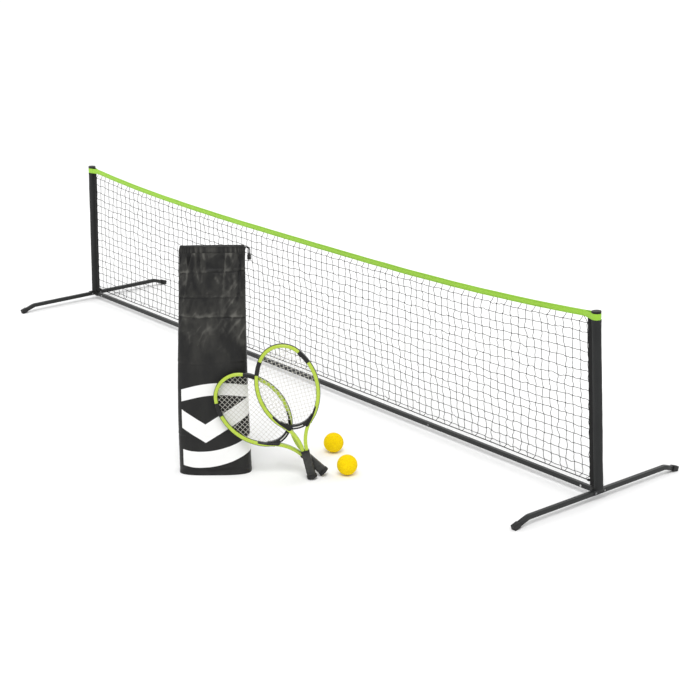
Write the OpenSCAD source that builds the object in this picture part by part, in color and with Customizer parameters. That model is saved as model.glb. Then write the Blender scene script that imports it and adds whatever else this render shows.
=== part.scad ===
// Portable mini tennis set: a free-standing net on a push-button steel stand, a drawcord bag,
// two junior rackets and two foam balls. Millimetres, +Z up. The origin is on the floor under
// the middle of the net; +X runs along the net, and the loose pieces stand on its -Y side.

/* [Net and posts] */
// Distance between the feet of the two posts
post_spacing = 3050; // [2000:10:4000]
// Height of the top edge of the net
net_height = 600; // [500:5:800]
// Inward lean of the posts under the pull of the net, in degrees
post_lean = 3.5; // [0:0.5:6]
// Outer diameter of a post
post_d = 25.4; // [22:0.1:32]
// Wall of a post and of its spigot
post_wall = 1.2; // [1:0.1:1.5]
// Thickness of the padded sleeve round a post
sleeve_wall = 2.6; // [1.5:0.1:4]
// Width of the flat strip that joins a sleeve to the net
strip_w = 14; // [8:1:24]
// Thickness of the sewn strip
strip_t = 3; // [2.5:0.5:5]
// Height of the top tape
tape_h = 20; // [14:1:40]
// Thickness of the top tape
tape_t = 3; // [2.5:0.5:4]
// Thickness of the head of a post cap
cap_head = 5.5; // [3:0.5:10]
// Height of the bottom rope above the floor
rope_z = 51; // [46:1:80]
// Diameter of the bottom rope
rope_d = 4; // [3:0.5:6]
// Width and depth of a net strand
strand = 2; // [1.5:0.5:3]
// Drop of the tape in the middle, between its ties to the posts
net_sag = 40; // [0:1:80]
// Number of gaps along the net
net_columns = 36; // [20:1:40]
// Number of gaps up the net
net_rows = 6; // [4:1:7]

/* [Steel stand] */
// Outer width of the square tube of the base bars and the crossbar
bar = 15; // [13:0.5:20]
// Wall of the square tube
bar_wall = 1.2; // [1:0.1:1.5]
// Corner radius of the square tube
bar_r = 2; // [1.5:0.1:3]
// Height of the middle of a base bar above the floor
bar_lift = 19; // [15:1:30]
// Distance from the net to the bend of a base bar
bend_at = 310; // [200:5:400]
// Slope of the legs of a base bar, in degrees
leg_slope = 18; // [15:1:24]
// Radius of the bend at the centreline of the tube
bend_r = 45; // [30:1:60]
// Wall of the plastic end caps
end_cap_wall = 1.5; // [1:0.1:2.5]
// Length of the plastic end caps
end_cap_l = 24; // [18:1:40]
// Depth that is cut off the cap's lower corner to make its flat sole
sole_cut = 2; // [1:0.5:3]
// Plate thickness of the corner brackets
plate = 2; // [1.5:0.5:3]
// Length of the bracket saddle along the base bar
saddle_l = 56; // [44:1:80]
// Length of the upright spigot inside a post
spigot_l = 90; // [50:5:140]
// Length of the collar that holds the crossbar's end
collar_l = 18; // [12:1:30]
// Length of the stub inside the crossbar's end
stub_l = 95; // [80:1:140]
// Length of each end of a connector inside a section of the crossbar
connector_reach = 52; // [46:1:80]
// Distance from a bracket's cheek to the snap button in its stub
end_button_at = 58; // [46:1:64]
// Distance from a section joint to its snap button
joint_button_at = 30; // [26:1:32]
// Diameter of a snap button
button_d = 7; // [5:0.1:8]
// Height of a snap button above the tube
button_rise = 2.8; // [1.5:0.1:3]
// Thickness of the button's leaf spring
leaf_t = 0.8; // [0.5:0.1:1]
// Diameter of the rivets
rivet_d = 5; // [4:0.1:6]
// Clearance between tubes that slide together, a side
tube_fit = 0.15; // [0.1:0.05:0.2]

/* [Bag] */
// Height of the bag along its front
bag_h = 755; // [600:5:900]
// Width of the bag at the floor
bag_foot_w = 234; // [180:2:320]
// Width of the bag at the mouth
bag_mouth_w = 213; // [160:1:300]
// Depth of the bag at the floor
bag_foot_t = 104; // [98:2:160]
// Depth of the bag at the mouth
bag_mouth_t = 24; // [20:1:50]
// Sideways slump of the mouth
bag_slump = 7; // [0:1:20]
// Height of the hem that holds the drawcord
hem_h = 22; // [16:1:35]
// Diameter of the drawcord
cord_d = 3; // [2.5:0.1:3.5]

/* [Cord lock] */
// Outer diameter of the cord lock's barrel
lock_d = 13; // [12:0.5:16]
// Length of the barrel
lock_l = 16; // [15:0.5:20]
// Diameter of the plunger
plunger_d = 9; // [8:0.5:9.5]
// Travel of the plunger
plunger_travel = 3; // [2:0.5:3.5]
// Diameter of the wire of the lock's spring
spring_wire = 0.7; // [0.5:0.1:0.8]

/* [Rackets] */
// Length of a racket
racket_l = 455; // [430:1:490]
// Outer length of the head
head_l = 284; // [265:1:300]
// Outer width of the head
head_w = 204; // [190:1:215]
// Face width of the frame tube
tube_w = 11.5; // [10:0.5:13]
// Depth of the frame tube
beam = 19; // [17:0.5:20]
// Radius of the centreline at the tip of the head
tip_r = 76; // [72:1:84]
// Angle at which the frame leaves the head for the throat
throat_turn = 47; // [44:1:52]
// Gap between the two tubes in the handle
shaft_gap = 0.9; // [0.5:0.1:2]
// Pitch of the strings
string_pitch = 13; // [13:0.5:22]
// Width and depth of a string
string_w = 1.6; // [1.2:0.1:2]
// How far the throat yoke stands out of the head's centreline
yoke_out = 5; // [3:0.5:5.5]
// Thickness of the yoke's wings along the inside of the frame
yoke_wing_t = 2.5; // [1.5:0.5:4]
// Height of the wings above the foot of the head
yoke_wing_h = 58; // [40:1:80]
// Distance from a bumper band to where the side of the head turns into the tip
band_inset = 6; // [2:0.5:20]
// Length of a bumper band along the side of the head
band_l = 45; // [30:1:50]
// Wall of the bumper bands
band_wall = 1; // [0.6:0.1:1.5]
// Distance from the top of the grip to where the two shafts part
throat_clear = 4; // [2:1:8]
// Width of the handle at its top
handle_w = 27; // [26.5:0.5:30]
// Depth of the handle at its top
handle_t = 24.6; // [24:0.2:28]
// How much the handle widens towards the butt
handle_flare = 2; // [0:0.5:4]
// Thickness of the grip wrap
wrap_t = 1.3; // [1:0.1:1.4]
// Length of the collar above the grip
grip_collar_l = 7; // [5:0.5:12]
// Radius of the butt cap
butt_r = 17; // [16.5:0.5:20]
// Length of the butt cap
butt_l = 12; // [8:1:18]
// Rounding of the butt cap's rim
butt_round = 3; // [1:0.5:4]
// Distance from the butt cap to the feet of the shafts in the handle
shaft_clear = 20; // [8:1:40]

/* [Balls] */
// Diameter of a ball
ball_d = 68; // [60:1:75]

/* [Where the loose pieces stand] */
// Turn of the loose pieces about the vertical
display_turn = 51; // [40:1:60]
// Backward lean of the bag's front and of the rackets, in degrees
face_lean = 6; // [4:0.5:7]
// Foot of the bag's front, from the middle of the net
bag_x = 581; // [500:1:650]
// Distance of that foot from the net
bag_y = 799; // [750:1:900]
// Place of the rear racket's butt along the bag's front
racket_a_u = 356; // [340:1:380]
// Tilt of the rear racket
racket_a_tilt = 47; // [40:1:55]
// Place of the front racket's butt along the bag's front
racket_b_u = 316; // [300:1:330]
// Tilt of the front racket
racket_b_tilt = 14; // [8:1:20]
// Place of the first ball
ball_1_x = 666; // [600:1:700]
// Distance of the first ball from the net
ball_1_y = 375; // [300:1:420]
// Place of the second ball
ball_2_x = 854; // [800:1:900]
// Distance of the second ball from the net
ball_2_y = 468; // [440:1:500]

/* [Hidden] */
// Gap between sewn pieces, and between pieces that only rest against each other
seam = 0.2;
lean_gap = 0.3;
// Clearance of a plastic cap or a rivet, a side
snug = 0.05;
// Clearance round the racket's tube, which also clears its flats between the points of its curves
frame_gap = 0.25;
arc = 96;
small_arc = 48;

// Stand
bar_mid = bar_lift + bar / 2;
bar_top = bar_lift + bar;
cap_out = bar / 2 + snug + end_cap_wall;
leg_l = (bar_mid + sole_cut - cap_out * cos(leg_slope)) / sin(leg_slope);
bend_cut = bend_r * tan(leg_slope / 2);
cheek_in = bar / 2 + tube_fit;
cheek_out = cheek_in + plate;
saddle_top = bar_top + tube_fit + plate;
inner_half = bar / 2 - bar_wall - tube_fit;
stub_in = inner_half - bar_wall;
cross_half = post_spacing / 2 - cheek_out;
section_l = cross_half / 2;
leaf_l = 30;
leaf_w = button_d + 1;
leaf_clear = 0.15;
button_dome = 1.4;
inner_r = 0.8;
collar_r = 2.4;
rivet_head_h = 1.6;
rivet_y = saddle_l / 2 - 8;

// Posts, sleeves and tape
spigot_d = post_d - 2 * post_wall - 2 * tube_fit;
post_foot = saddle_top + 1;
sleeve_foot = saddle_top + seam;
sleeve_in = post_d / 2 + seam;
sleeve_out = sleeve_in + sleeve_wall;
strip_end = sleeve_out + strip_w;
tape_foot = net_height - tape_h;
tape_nose = strip_end + 22;
cap_round = 1.5;
cap_plug = 22;
post_top = bar_top + (net_height + seam - bar_top + sleeve_out * sin(post_lean)) / cos(post_lean);

// Net: half width at a height, drop of the tape at a place, and the height of the mesh's foot
function post_x(z) = post_spacing / 2 - (z - bar_top) * tan(post_lean);
function edge_x(z) = post_x(z) - strip_end / cos(post_lean);
net_foot = rope_z + rope_d / 2 + seam;
tape_reach = post_x(tape_foot + tape_h / 2) - tape_nose + 2;
function drop(x) = net_sag * (1 - pow(min(1, abs(x) / tape_reach), 3));

// Racket: four-arc oval of the tube's centreline
tube_r = 4;
racket_end = racket_l - tube_w / 2;
oval_a = (head_l - tube_w) / 2;
oval_b = (head_w - tube_w) / 2;
oval_y = racket_end - oval_a;
tip_c = oval_a - tip_r;
side_r = (tip_c * tip_c + oval_b * oval_b - tip_r * tip_r) / (2 * (oval_b - tip_r));
side_c = side_r - oval_b;
side_turn = atan(tip_c / side_c);
mm_turn = 180 / (PI * side_r);
band_turn = band_l * mm_turn;
band_at = side_turn - band_inset * mm_turn - band_turn / 2;
shaft_x = (tube_w + shaft_gap) / 2;
throat_r = (tip_r * cos(throat_turn) - shaft_x) / (1 - cos(throat_turn));
throat_x = shaft_x + throat_r;
head_foot = oval_y - tip_c;
throat_y = head_foot - (tip_r + throat_r) * sin(throat_turn);
grip_top = throat_y - throat_clear;
shaft_in = grip_top - butt_l - shaft_clear;

// Planes of the rackets in front of the bag, and the height of each butt
collar_t = handle_t + 0.4;
plane_a = -(beam / 2 + frame_gap + band_wall + lean_gap);
plane_b = plane_a - handle_t - handle_flare - lean_gap;
function upright(tilt) = cos(tilt) * cos(face_lean);
function butt_z(tilt) = (butt_r - butt_round) * sqrt(1 - pow(upright(tilt), 2))
    + butt_round * (1 - upright(tilt));
function butt_v(tilt, plane) = (butt_z(tilt) + plane * sin(face_lean)) / cos(face_lean);

// Drawcord: two strands side by side from the hem through the lock to the knot, turned with the bag
eyelet_drop = 6.9;
eyelet = [bag_slump + bag_mouth_w / 2 + 0.5, bag_h * sin(face_lean) + bag_mouth_t / 2,
    bag_h * cos(face_lean) - eyelet_drop];
lock_at = eyelet + [11, -9, -30];
FRONT_STRAND = [for (p = [
    [0, -2.4, 0], [3, -2.4, 0], [6.5, -1.6, -1.4], [9, 0, -5.4], [9.4, 2.2, -11], [9.3, 4, -17],
    [9.2, 4, -22.6], [9.2, 1.4, -27.4], [9.2, -3.4, -29.8], [9.2, -9, -30], [9.2, -14, -30],
    [9.2, -17.6, -30]]) eyelet + p];
REAR_STRAND = [for (p = [
    [0, 2.4, 0], [3.4, 2.6, 0.4], [7.6, 3.4, -0.6], [11.2, 4.6, -4.2], [12.8, 5.4, -9.6],
    [13, 6, -15.6], [12.8, 5.8, -21.6], [12.8, 3.2, -27], [12.8, -1.6, -29.6], [12.8, -7.4, -30],
    [12.8, -13, -30], [12.8, -17.6, -30]]) eyelet + p];
knot_r = 5;
knot_y = eyelet[1] - 17.6;

SIDES = [-1, 1];
JOINTS = [-section_l, 0, section_l];

// ---------- square tube ----------

module rounded(w, h, r) {
    square([w - 2 * r, h], center = true);
    square([w, h - 2 * r], center = true);
    for (x = SIDES, y = SIDES)
        translate([x * (w / 2 - r), y * (h / 2 - r)]) circle(r, $fn = small_arc);
}

module tube_ring(w, wall, r) {
    difference() {
        rounded(w, w, r);
        rounded(w - 2 * wall, w - 2 * wall, max(0.3, r - wall));
    }
}

// A length of square tube along +X from the origin
module square_tube(l, w, wall, r) {
    rotate([90, 0, 90]) linear_extrude(l) tube_ring(w, wall, r);
}

// ---------- bent tubes ----------

// Stretch of arc in a plane, without its last point, as [x, y, normal x, normal y]
function bow(x, y, r, from, to, steps, out) = [for (i = [0 : steps - 1])
    let (a = from + (to - from) * i / steps) [x + r * cos(a), y + r * sin(a), out * cos(a), out * sin(a)]];

// A line of such points with its mirror image in front of it
function both(half, shared) = concat(
    [for (i = [len(half) - 1 : -1 : shared ? 1 : 0]) let (p = half[i]) [-p[0], p[1], -p[2], p[3]]], half);

// Rounded rectangle as points, counter-clockwise
function section(w, h, r) = [for (q = [0 : 3], i = [0 : 3]) let (a = 90 * q + 30 * i,
    x = (q == 0 || q == 3 ? 1 : -1) * (w / 2 - r), y = (q < 2 ? 1 : -1) * (h / 2 - r))
    [x + r * cos(a), y + r * sin(a)]];

// A closed solid through rings of points
module loft(rings) {
    n = len(rings[0]);
    top = len(rings) - 1;
    polyhedron(
        points = [for (r = rings) each r],
        faces = concat(
            [[for (i = [0 : n - 1]) i]],
            [for (j = [0 : top - 1], i = [0 : n - 1]) let (p = (i + 1) % n)
                [j * n + i, (j + 1) * n + i, (j + 1) * n + p]],
            [for (j = [0 : top - 1], i = [0 : n - 1]) let (p = (i + 1) % n)
                [j * n + i, (j + 1) * n + p, j * n + p]],
            [[for (i = [n - 1 : -1 : 0]) top * n + i]]));
}

// ---------- base bars ----------

// Half of a base bar's centreline in its own plane: the bend, then the leg to a length
function half_bar(l) = concat(
    bow(bend_at - bend_cut, bar_mid - bend_r, bend_r, 90, 90 - leg_slope, 6, 1),
    [for (d = [bend_cut, l]) [bend_at + d * cos(leg_slope), bar_mid - d * sin(leg_slope),
        sin(leg_slope), cos(leg_slope)]]);

module bar_solid(w, r, l) {
    loft([for (p = both(half_bar(l), false))
        [for (c = section(w, w, r)) [c[1], p[0] + c[0] * p[2], p[1] + c[0] * p[3]]]]);
}

// Frame of a leg: origin at the corner of the bend, +Y down the leg
module leg_frame() {
    translate([0, bend_at, bar_mid]) rotate([-leg_slope, 0, 0]) children();
}

module base_bar(side) {
    l = leg_l - end_cap_wall - snug;
    color("#2b2d2c") translate([side * post_spacing / 2, 0, 0]) difference() {
        bar_solid(bar, bar_r, l);
        bar_solid(bar - 2 * bar_wall, bar_r - bar_wall, l + 1);
        rivet_holes(rivet_d / 2 + snug);
    }
}

module end_caps(side) {
    color("#161616") translate([side * post_spacing / 2, 0, 0])
        for (m = [0, 1]) mirror([0, m, 0]) intersection() {
            leg_frame() difference() {
                translate([0, leg_l, 0]) rotate([90, 0, 0]) linear_extrude(end_cap_l)
                    rounded(2 * cap_out, 2 * cap_out, bar_r);
                translate([0, leg_l - end_cap_wall, 0]) rotate([90, 0, 0]) linear_extrude(end_cap_l)
                    rounded(bar + 2 * snug, bar + 2 * snug, bar_r);
            }
            translate([-bar, 0, 0]) cube([2 * bar, 2 * bend_at, 4 * bar]);
        }
}

// ---------- corner brackets ----------

module rivet_holes(r) {
    for (y = SIDES) translate([0, y * rivet_y, bar_mid]) rotate([0, 90, 0])
        cylinder(r = r, h = 4 * bar, center = true, $fn = small_arc);
}

// Frame of a post: leans inward about the top of its base bar
module on_post(side) {
    translate([side * post_spacing / 2, 0, bar_top]) rotate([0, -side * post_lean, 0])
        translate([0, 0, -bar_top]) children();
}

// Frame at a bracket's inner cheek, +X towards the middle of the net
module at_cheek(side) {
    translate([side * cross_half, 0, bar_mid]) mirror([side > 0 ? 1 : 0, 0, 0]) children();
}

module bracket(side) {
    color("#1c1d1d") difference() {
        union() {
            translate([side * post_spacing / 2, 0, 0]) saddle();
            intersection() {
                on_post(side) cylinder(d = spigot_d, h = post_foot + spigot_l, $fn = arc);
                translate([side * post_spacing / 2 - 2 * bar, -bar, saddle_top - plate])
                    cube([4 * bar, 2 * bar, post_foot + spigot_l]);
            }
            at_cheek(side) {
                translate([-plate, 0, 0]) square_tube(stub_l + plate, 2 * inner_half, bar_wall, inner_r);
                square_tube(collar_l, bar + 2 * tube_fit + 2 * plate, plate, collar_r);
            }
        }
        on_post(side) translate([0, 0, saddle_top])
            cylinder(d = spigot_d - 2 * post_wall, h = post_foot + spigot_l, $fn = arc);
        at_cheek(side) translate([end_button_at, 0, 0]) button_hole(-1);
    }
}

// Channel of plate over the base bar
module saddle() {
    difference() {
        translate([-cheek_out, -saddle_l / 2, bar_lift + plate])
            cube([2 * cheek_out, saddle_l, saddle_top - bar_lift - plate]);
        translate([-cheek_in, -saddle_l, bar_lift - plate])
            cube([2 * cheek_in, 2 * saddle_l, bar + plate + tube_fit]);
        rivet_holes(rivet_d / 2 + snug);
    }
}

module bracket_rivets() {
    color("#3a3b3c") for (s = SIDES, y = SIDES)
        translate([s * post_spacing / 2, y * rivet_y, bar_mid]) rotate([0, 90, 0])
            rivet(cheek_out);
}

// A rivet through 2 * reach of material, domed at both ends
module rivet(reach) {
    cylinder(d = rivet_d, h = 2 * reach, center = true, $fn = small_arc);
    for (m = [0, 1]) mirror([0, 0, m]) translate([0, 0, reach + snug]) rivet_head();
}

module rivet_head() {
    intersection() {
        translate([0, 0, rivet_head_h - rivet_d]) sphere(rivet_d, $fn = small_arc);
        cylinder(r = rivet_d, h = 2 * rivet_head_h, $fn = small_arc);
    }
    translate([0, 0, -snug]) cylinder(d = rivet_d, h = snug + rivet_head_h / 2, $fn = small_arc);
}

// ---------- crossbar ----------

// A hole through one wall of a tube whose axis is the local X axis; facing -1 is the -Y side
module button_hole(facing) {
    rotate([facing < 0 ? 90 : -90, 0, 0])
        cylinder(d = button_d + seam, h = bar, $fn = small_arc);
}

module crossbar(i) {
    x = (i - 2) * section_l;
    color("#202221") translate([0, 0, bar_mid]) difference() {
        translate([x + seam / 2, 0, 0]) square_tube(section_l - seam, bar, bar_wall, bar_r);
        if (i == 0) translate([-cross_half + end_button_at, 0, 0]) button_hole(-1);
        if (i == 3) translate([cross_half - end_button_at, 0, 0]) button_hole(-1);
        if (i > 0) translate([x + joint_button_at, 0, 0]) button_hole(1);
        if (i < 3) translate([x + section_l - connector_reach / 2, 0, 0])
            rotate([90, 0, 0]) cylinder(d = rivet_d + 2 * snug, h = 4 * bar, center = true, $fn = small_arc);
    }
}

module connector(j) {
    color("#3c3f40") translate([JOINTS[j], 0, bar_mid]) difference() {
        translate([-connector_reach, 0, 0])
            square_tube(2 * connector_reach, 2 * inner_half, bar_wall, inner_r);
        translate([joint_button_at, 0, 0]) button_hole(1);
        translate([-connector_reach / 2, 0, 0]) rotate([90, 0, 0])
            cylinder(d = rivet_d + 2 * snug, h = 4 * bar, center = true, $fn = small_arc);
    }
}

module connector_rivets() {
    color("#3a3b3c") for (x = JOINTS)
        translate([x - connector_reach / 2, 0, bar_mid]) rotate([90, 0, 0]) rivet(bar / 2);
}

// Frames of the five snap buttons: origin on the tube's axis, +Z outwards through the wall
module at_button(k) {
    ends = cross_half - end_button_at;
    x = k == 0 ? -ends : k == 4 ? ends : JOINTS[k - 1] + joint_button_at;
    translate([x, 0, bar_mid]) rotate([k == 0 || k == 4 ? 90 : -90, 0, 0]) children();
}

// Domed pin with the moving leaf of its V spring
module snap_button(k) {
    color("#a9abad") at_button(k) {
        leaf_z = stub_in - leaf_clear - leaf_t;
        top = bar / 2 + button_rise;
        translate([0, 0, leaf_z]) cylinder(d = button_d, h = top - button_dome - leaf_z, $fn = small_arc);
        intersection() {
            translate([0, 0, top - button_d]) sphere(button_d, $fn = small_arc);
            translate([0, 0, top - button_dome]) cylinder(d = button_d, h = 2 * button_dome, $fn = small_arc);
        }
        translate([-leaf_l + leaf_w / 2, -leaf_w / 2, leaf_z]) cube([leaf_l, leaf_w, leaf_t]);
    }
}

// Fixed leaves, with the bend that the moving leaf springs from
module button_spring_legs() {
    color("#8f9193") for (k = [0 : 4]) at_button(k) {
        r = stub_in - leaf_clear;
        translate([-leaf_l + leaf_w / 2, -leaf_w / 2, -r]) cube([leaf_l, leaf_w, leaf_t]);
        translate([-leaf_l + leaf_w / 2, 0, 0]) rotate([90, 0, 0]) intersection() {
            difference() {
                cylinder(r = r, h = leaf_w, center = true, $fn = small_arc);
                cylinder(r = r - leaf_t, h = 2 * leaf_w, center = true, $fn = small_arc);
            }
            translate([-2 * r - lean_gap, -r, -leaf_w]) cube([2 * r, 2 * r, 2 * leaf_w]);
        }
        translate([-leaf_l + leaf_w / 2 - lean_gap - snug, -leaf_w / 2, -r])
            cube([1, leaf_w, leaf_t]);
    }
}

// ---------- posts, sleeves and net ----------

module post(side) {
    color("#2b2d2c") on_post(side) translate([0, 0, post_foot]) difference() {
        cylinder(d = post_d, h = post_top - post_foot, $fn = arc);
        translate([0, 0, -1])
            cylinder(d = post_d - 2 * post_wall, h = post_top - post_foot + 2, $fn = arc);
    }
}

module post_cap(side) {
    color("#121212") on_post(side) translate([0, 0, post_top + seam])
        rotate_extrude($fn = arc) {
            square([sleeve_out - cap_round, cap_head]);
            square([sleeve_out, cap_head - cap_round]);
            translate([sleeve_out - cap_round, cap_head - cap_round]) circle(cap_round, $fn = small_arc);
            translate([0, -cap_plug]) square([post_d / 2 - post_wall - snug, cap_plug + cap_round]);
        }
}

module sleeve(side) {
    color("#35373a") intersection() {
        on_post(side) difference() {
            union() {
                cylinder(r = sleeve_out, h = 2 * net_height, $fn = arc);
                translate([side > 0 ? -strip_end : 0, -strip_t / 2, 0])
                    cube([strip_end, strip_t, 2 * net_height]);
            }
            translate([0, 0, -1]) cylinder(r = sleeve_in, h = 2 * net_height + 2, $fn = arc);
        }
        translate([side * post_spacing / 2 - 2 * post_d - net_height * sin(post_lean), -post_d, sleeve_foot])
            cube([4 * post_d + 2 * net_height * sin(post_lean), 2 * post_d, tape_foot - seam - sleeve_foot]);
    }
}

// Centre of a crossing of two strands
function crossing(i, j) = let (t = j / net_rows,
    low = edge_x(net_foot) - seam - strand / 2, high = edge_x(tape_foot) - seam - strand / 2,
    x = (2 * i / net_columns - 1) * (low + (high - low) * t),
    top = tape_foot - seam - drop(x) - strand / 2)
    [x, net_foot + strand / 2 + (top - net_foot - strand / 2) * t];

// Corners of a crossing are 0 to 3 in front, counter-clockwise from the lower left, and 4 to 7 behind
function corner(i, j, k) = 8 * (j * (net_columns + 1) + i) + k;

// Square strands along and up the net, joined at their crossings
module net_mesh() {
    h = strand / 2;
    c = net_columns;
    r = net_rows;
    color("#1a1a1a") polyhedron(
        points = [for (j = [0 : r], i = [0 : c]) let (p = crossing(i, j))
            each [for (y = SIDES, q = [[-h, -h], [h, -h], [h, h], [-h, h]])
                [p[0] + q[0], y * h, p[1] + q[1]]]],
        faces = concat(
            [for (j = [0 : r], i = [0 : c]) each [
                [for (k = [0, 3, 2, 1]) corner(i, j, k)],
                [for (k = [4, 5, 6, 7]) corner(i, j, k)]]],
            [for (j = [0 : r], i = [0 : c - 1]) each [
                [corner(i, j, 1), corner(i, j, 2), corner(i + 1, j, 3), corner(i + 1, j, 0)],
                [corner(i, j, 5), corner(i + 1, j, 4), corner(i + 1, j, 7), corner(i, j, 6)],
                [corner(i, j, 2), corner(i, j, 6), corner(i + 1, j, 7), corner(i + 1, j, 3)],
                [corner(i, j, 1), corner(i + 1, j, 0), corner(i + 1, j, 4), corner(i, j, 5)]]],
            [for (j = [0 : r - 1], i = [0 : c]) each [
                [corner(i, j, 3), corner(i, j + 1, 0), corner(i, j + 1, 1), corner(i, j, 2)],
                [corner(i, j, 7), corner(i, j, 6), corner(i, j + 1, 5), corner(i, j + 1, 4)],
                [corner(i, j, 3), corner(i, j, 7), corner(i, j + 1, 4), corner(i, j + 1, 0)],
                [corner(i, j, 2), corner(i, j + 1, 1), corner(i, j + 1, 5), corner(i, j, 6)]]],
            [for (i = [0 : c]) each [
                [for (k = [0, 1, 5, 4]) corner(i, 0, k)],
                [for (k = [3, 7, 6, 2]) corner(i, r, k)]]],
            [for (j = [0 : r]) each [
                [for (k = [0, 4, 7, 3]) corner(0, j, k)],
                [for (k = [1, 2, 6, 5]) corner(c, j, k)]]]));
}

// Band that sags between the posts, and the teardrop loop round each post
module top_tape() {
    steps = 24;
    xs = [for (i = [0 : steps]) tape_reach * (2 * i / steps - 1)];
    color("#9ccb3b") {
        translate([0, tape_t / 2, 0]) rotate([90, 0, 0]) linear_extrude(tape_t) polygon(concat(
            [for (x = xs) [x, tape_foot - drop(x)]],
            [for (i = [steps : -1 : 0]) [xs[i], net_height - drop(xs[i])]]));
        for (side = SIDES) translate([side * post_x(tape_foot + tape_h / 2), 0, tape_foot])
            mirror([side < 0 ? 1 : 0, 0, 0]) linear_extrude(tape_h) difference() {
                tape_drop();
                circle(sleeve_in + tape_h / 2 * tan(post_lean), $fn = arc);
            }
    }
}

// Outline of the loop: a circle round the post that closes on the flat band
module tape_drop() {
    touch = acos(sleeve_out / tape_nose);
    circle(sleeve_out, $fn = arc);
    polygon([[-sleeve_out * cos(touch), sleeve_out * sin(touch)], [-tape_nose, tape_t / 2],
        [-tape_nose, -tape_t / 2], [-sleeve_out * cos(touch), -sleeve_out * sin(touch)]]);
}

tie_r = 5;
tie_x = edge_x(rope_z) - tie_r - seam;

module bottom_rope() {
    color("#151515") translate([0, 0, rope_z]) rotate([0, 90, 0])
        cylinder(d = rope_d, h = 2 * (tie_x - tie_r + seam), center = true, $fn = small_arc);
}

// Knot at each end of the rope, lashed to the foot of the sleeve's strip
module corner_ties() {
    color("#151515") for (side = SIDES) translate([side * tie_x, 0, rope_z]) difference() {
        sphere(tie_r, $fn = small_arc);
        translate([-side * (2 * tie_r - 2 * seam), 0, 0]) cube(2 * tie_r, center = true);
        translate([0, 0, net_foot - rope_z - seam / 2 + tie_r])
            cube([4 * tie_r, strand * 2, 2 * tie_r], center = true);
    }
}

// ---------- bag ----------

// Frame of the loose pieces: origin at the foot of the bag's front, +X along it
module display() {
    translate([bag_x, -bag_y, 0]) rotate([0, 0, display_turn]) children();
}

// Frame of the leaning front: +Z up the lean
module on_face() {
    display() rotate([-face_lean, 0, 0]) children();
}

// A ring of the bag at a height of the way up, as a full rounded outline
bag_points = 32;
bag_waist = 5;
bag_heel = 10;
bag_roundness = 0.62;
hem_tuck = 3;
function bag_half(k) = (bag_foot_w + (bag_mouth_w - bag_foot_w) * k) / 2 - bag_waist * sin(180 * k);
function bag_back(k) = (bag_foot_t - bag_heel) * (1 - k) + (bag_mouth_t + bag_h * sin(face_lean)) * k
    + bag_heel * pow(1 - k, 4);
function bag_front(k) = bag_h * k * sin(face_lean);
function power(c, e) = sign(c) * pow(abs(c), e);
function bag_ring(k, shrink) = [for (i = [0 : bag_points - 1])
    let (a = 360 * i / bag_points, e = bag_roundness,
        mid = (bag_front(k) + bag_back(k)) / 2,
        half = (bag_back(k) - bag_front(k)) / 2 - shrink)
    [bag_slump * k + (bag_half(k) - shrink) * power(cos(a), e),
     mid + half * power(sin(a), e), bag_h * k * cos(face_lean)]];

hem_k = 1 - hem_h / bag_h;

module bag_body() {
    steps = 14;
    color("#262626") display()
        loft([for (j = [0 : steps]) bag_ring(hem_k * j / steps - (j == steps ? seam / bag_h : 0), 0)]);
}

module bag_hem() {
    color("#202020") display()
        loft([for (k = [hem_k, (hem_k + 1) / 2, 1 - 0.2 * (1 - hem_k), 1])
            bag_ring(k, k == 1 ? hem_tuck : 0)]);
}

// ---------- drawcord and lock, in the frame of the bag's front ----------

function unit(v) = v / norm(v);
// Rings of a tube of radius r along a route
function sweep_rings(route, r, n) = [for (i = [0 : len(route) - 1])
    let (t = unit(route[min(i + 1, len(route) - 1)] - route[max(i - 1, 0)]),
        a = unit(cross(t, [0.3, 1, 0.1])), b = cross(t, a))
    [for (j = [0 : n - 1]) route[i] + r * (cos(360 * j / n) * a + sin(360 * j / n) * b)]];

module drawcord(route) {
    color("#0f0f0f") display() loft(sweep_rings(route, cord_d / 2, 8));
}

module drawcord_knot() {
    flat = sqrt(knot_r * knot_r - pow(cord_d / 2 + (lock_at[0] - FRONT_STRAND[9][0]), 2));
    color("#0f0f0f") display() translate([lock_at[0], knot_y - flat, lock_at[2]]) difference() {
        sphere(knot_r, $fn = small_arc);
        translate([-knot_r, flat, -knot_r]) cube(2 * knot_r);
    }
}

// The slot across the lock takes both strands; the plunger's slot is longer by its travel
slot_w = 2 * cord_d + 2;
slot_top = cord_d / 2 + 0.1;
slot_foot = -slot_top;
slot_slack = 0.4;
plunger_rise = 4.6;
plunger_foot = slot_foot - 1.4;
spring_foot = -lock_l / 2 + 1.2;
spring_top = plunger_foot - snug;
spring_gap = 0.02;
spring_clear = 0.6;
spring_turns = 2.5;
barrel_round = 1;

module across(w, low, high) {
    translate([-w / 2, -lock_d, low]) cube([w, 2 * lock_d, high - low]);
}

module cord_lock_barrel() {
    color("#101010") display() translate(lock_at) difference() {
        translate([0, 0, -lock_l / 2]) rotate_extrude($fn = arc) {
            square([lock_d / 2 - barrel_round, lock_l]);
            translate([0, barrel_round]) square([lock_d / 2, lock_l - 2 * barrel_round]);
            for (y = [barrel_round, lock_l - barrel_round])
                translate([lock_d / 2 - barrel_round, y]) circle(barrel_round, $fn = small_arc);
        }
        translate([0, 0, spring_foot - snug]) cylinder(d = plunger_d + seam, h = lock_l, $fn = arc);
        across(slot_w, slot_foot - slot_slack, slot_top);
    }
}

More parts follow.
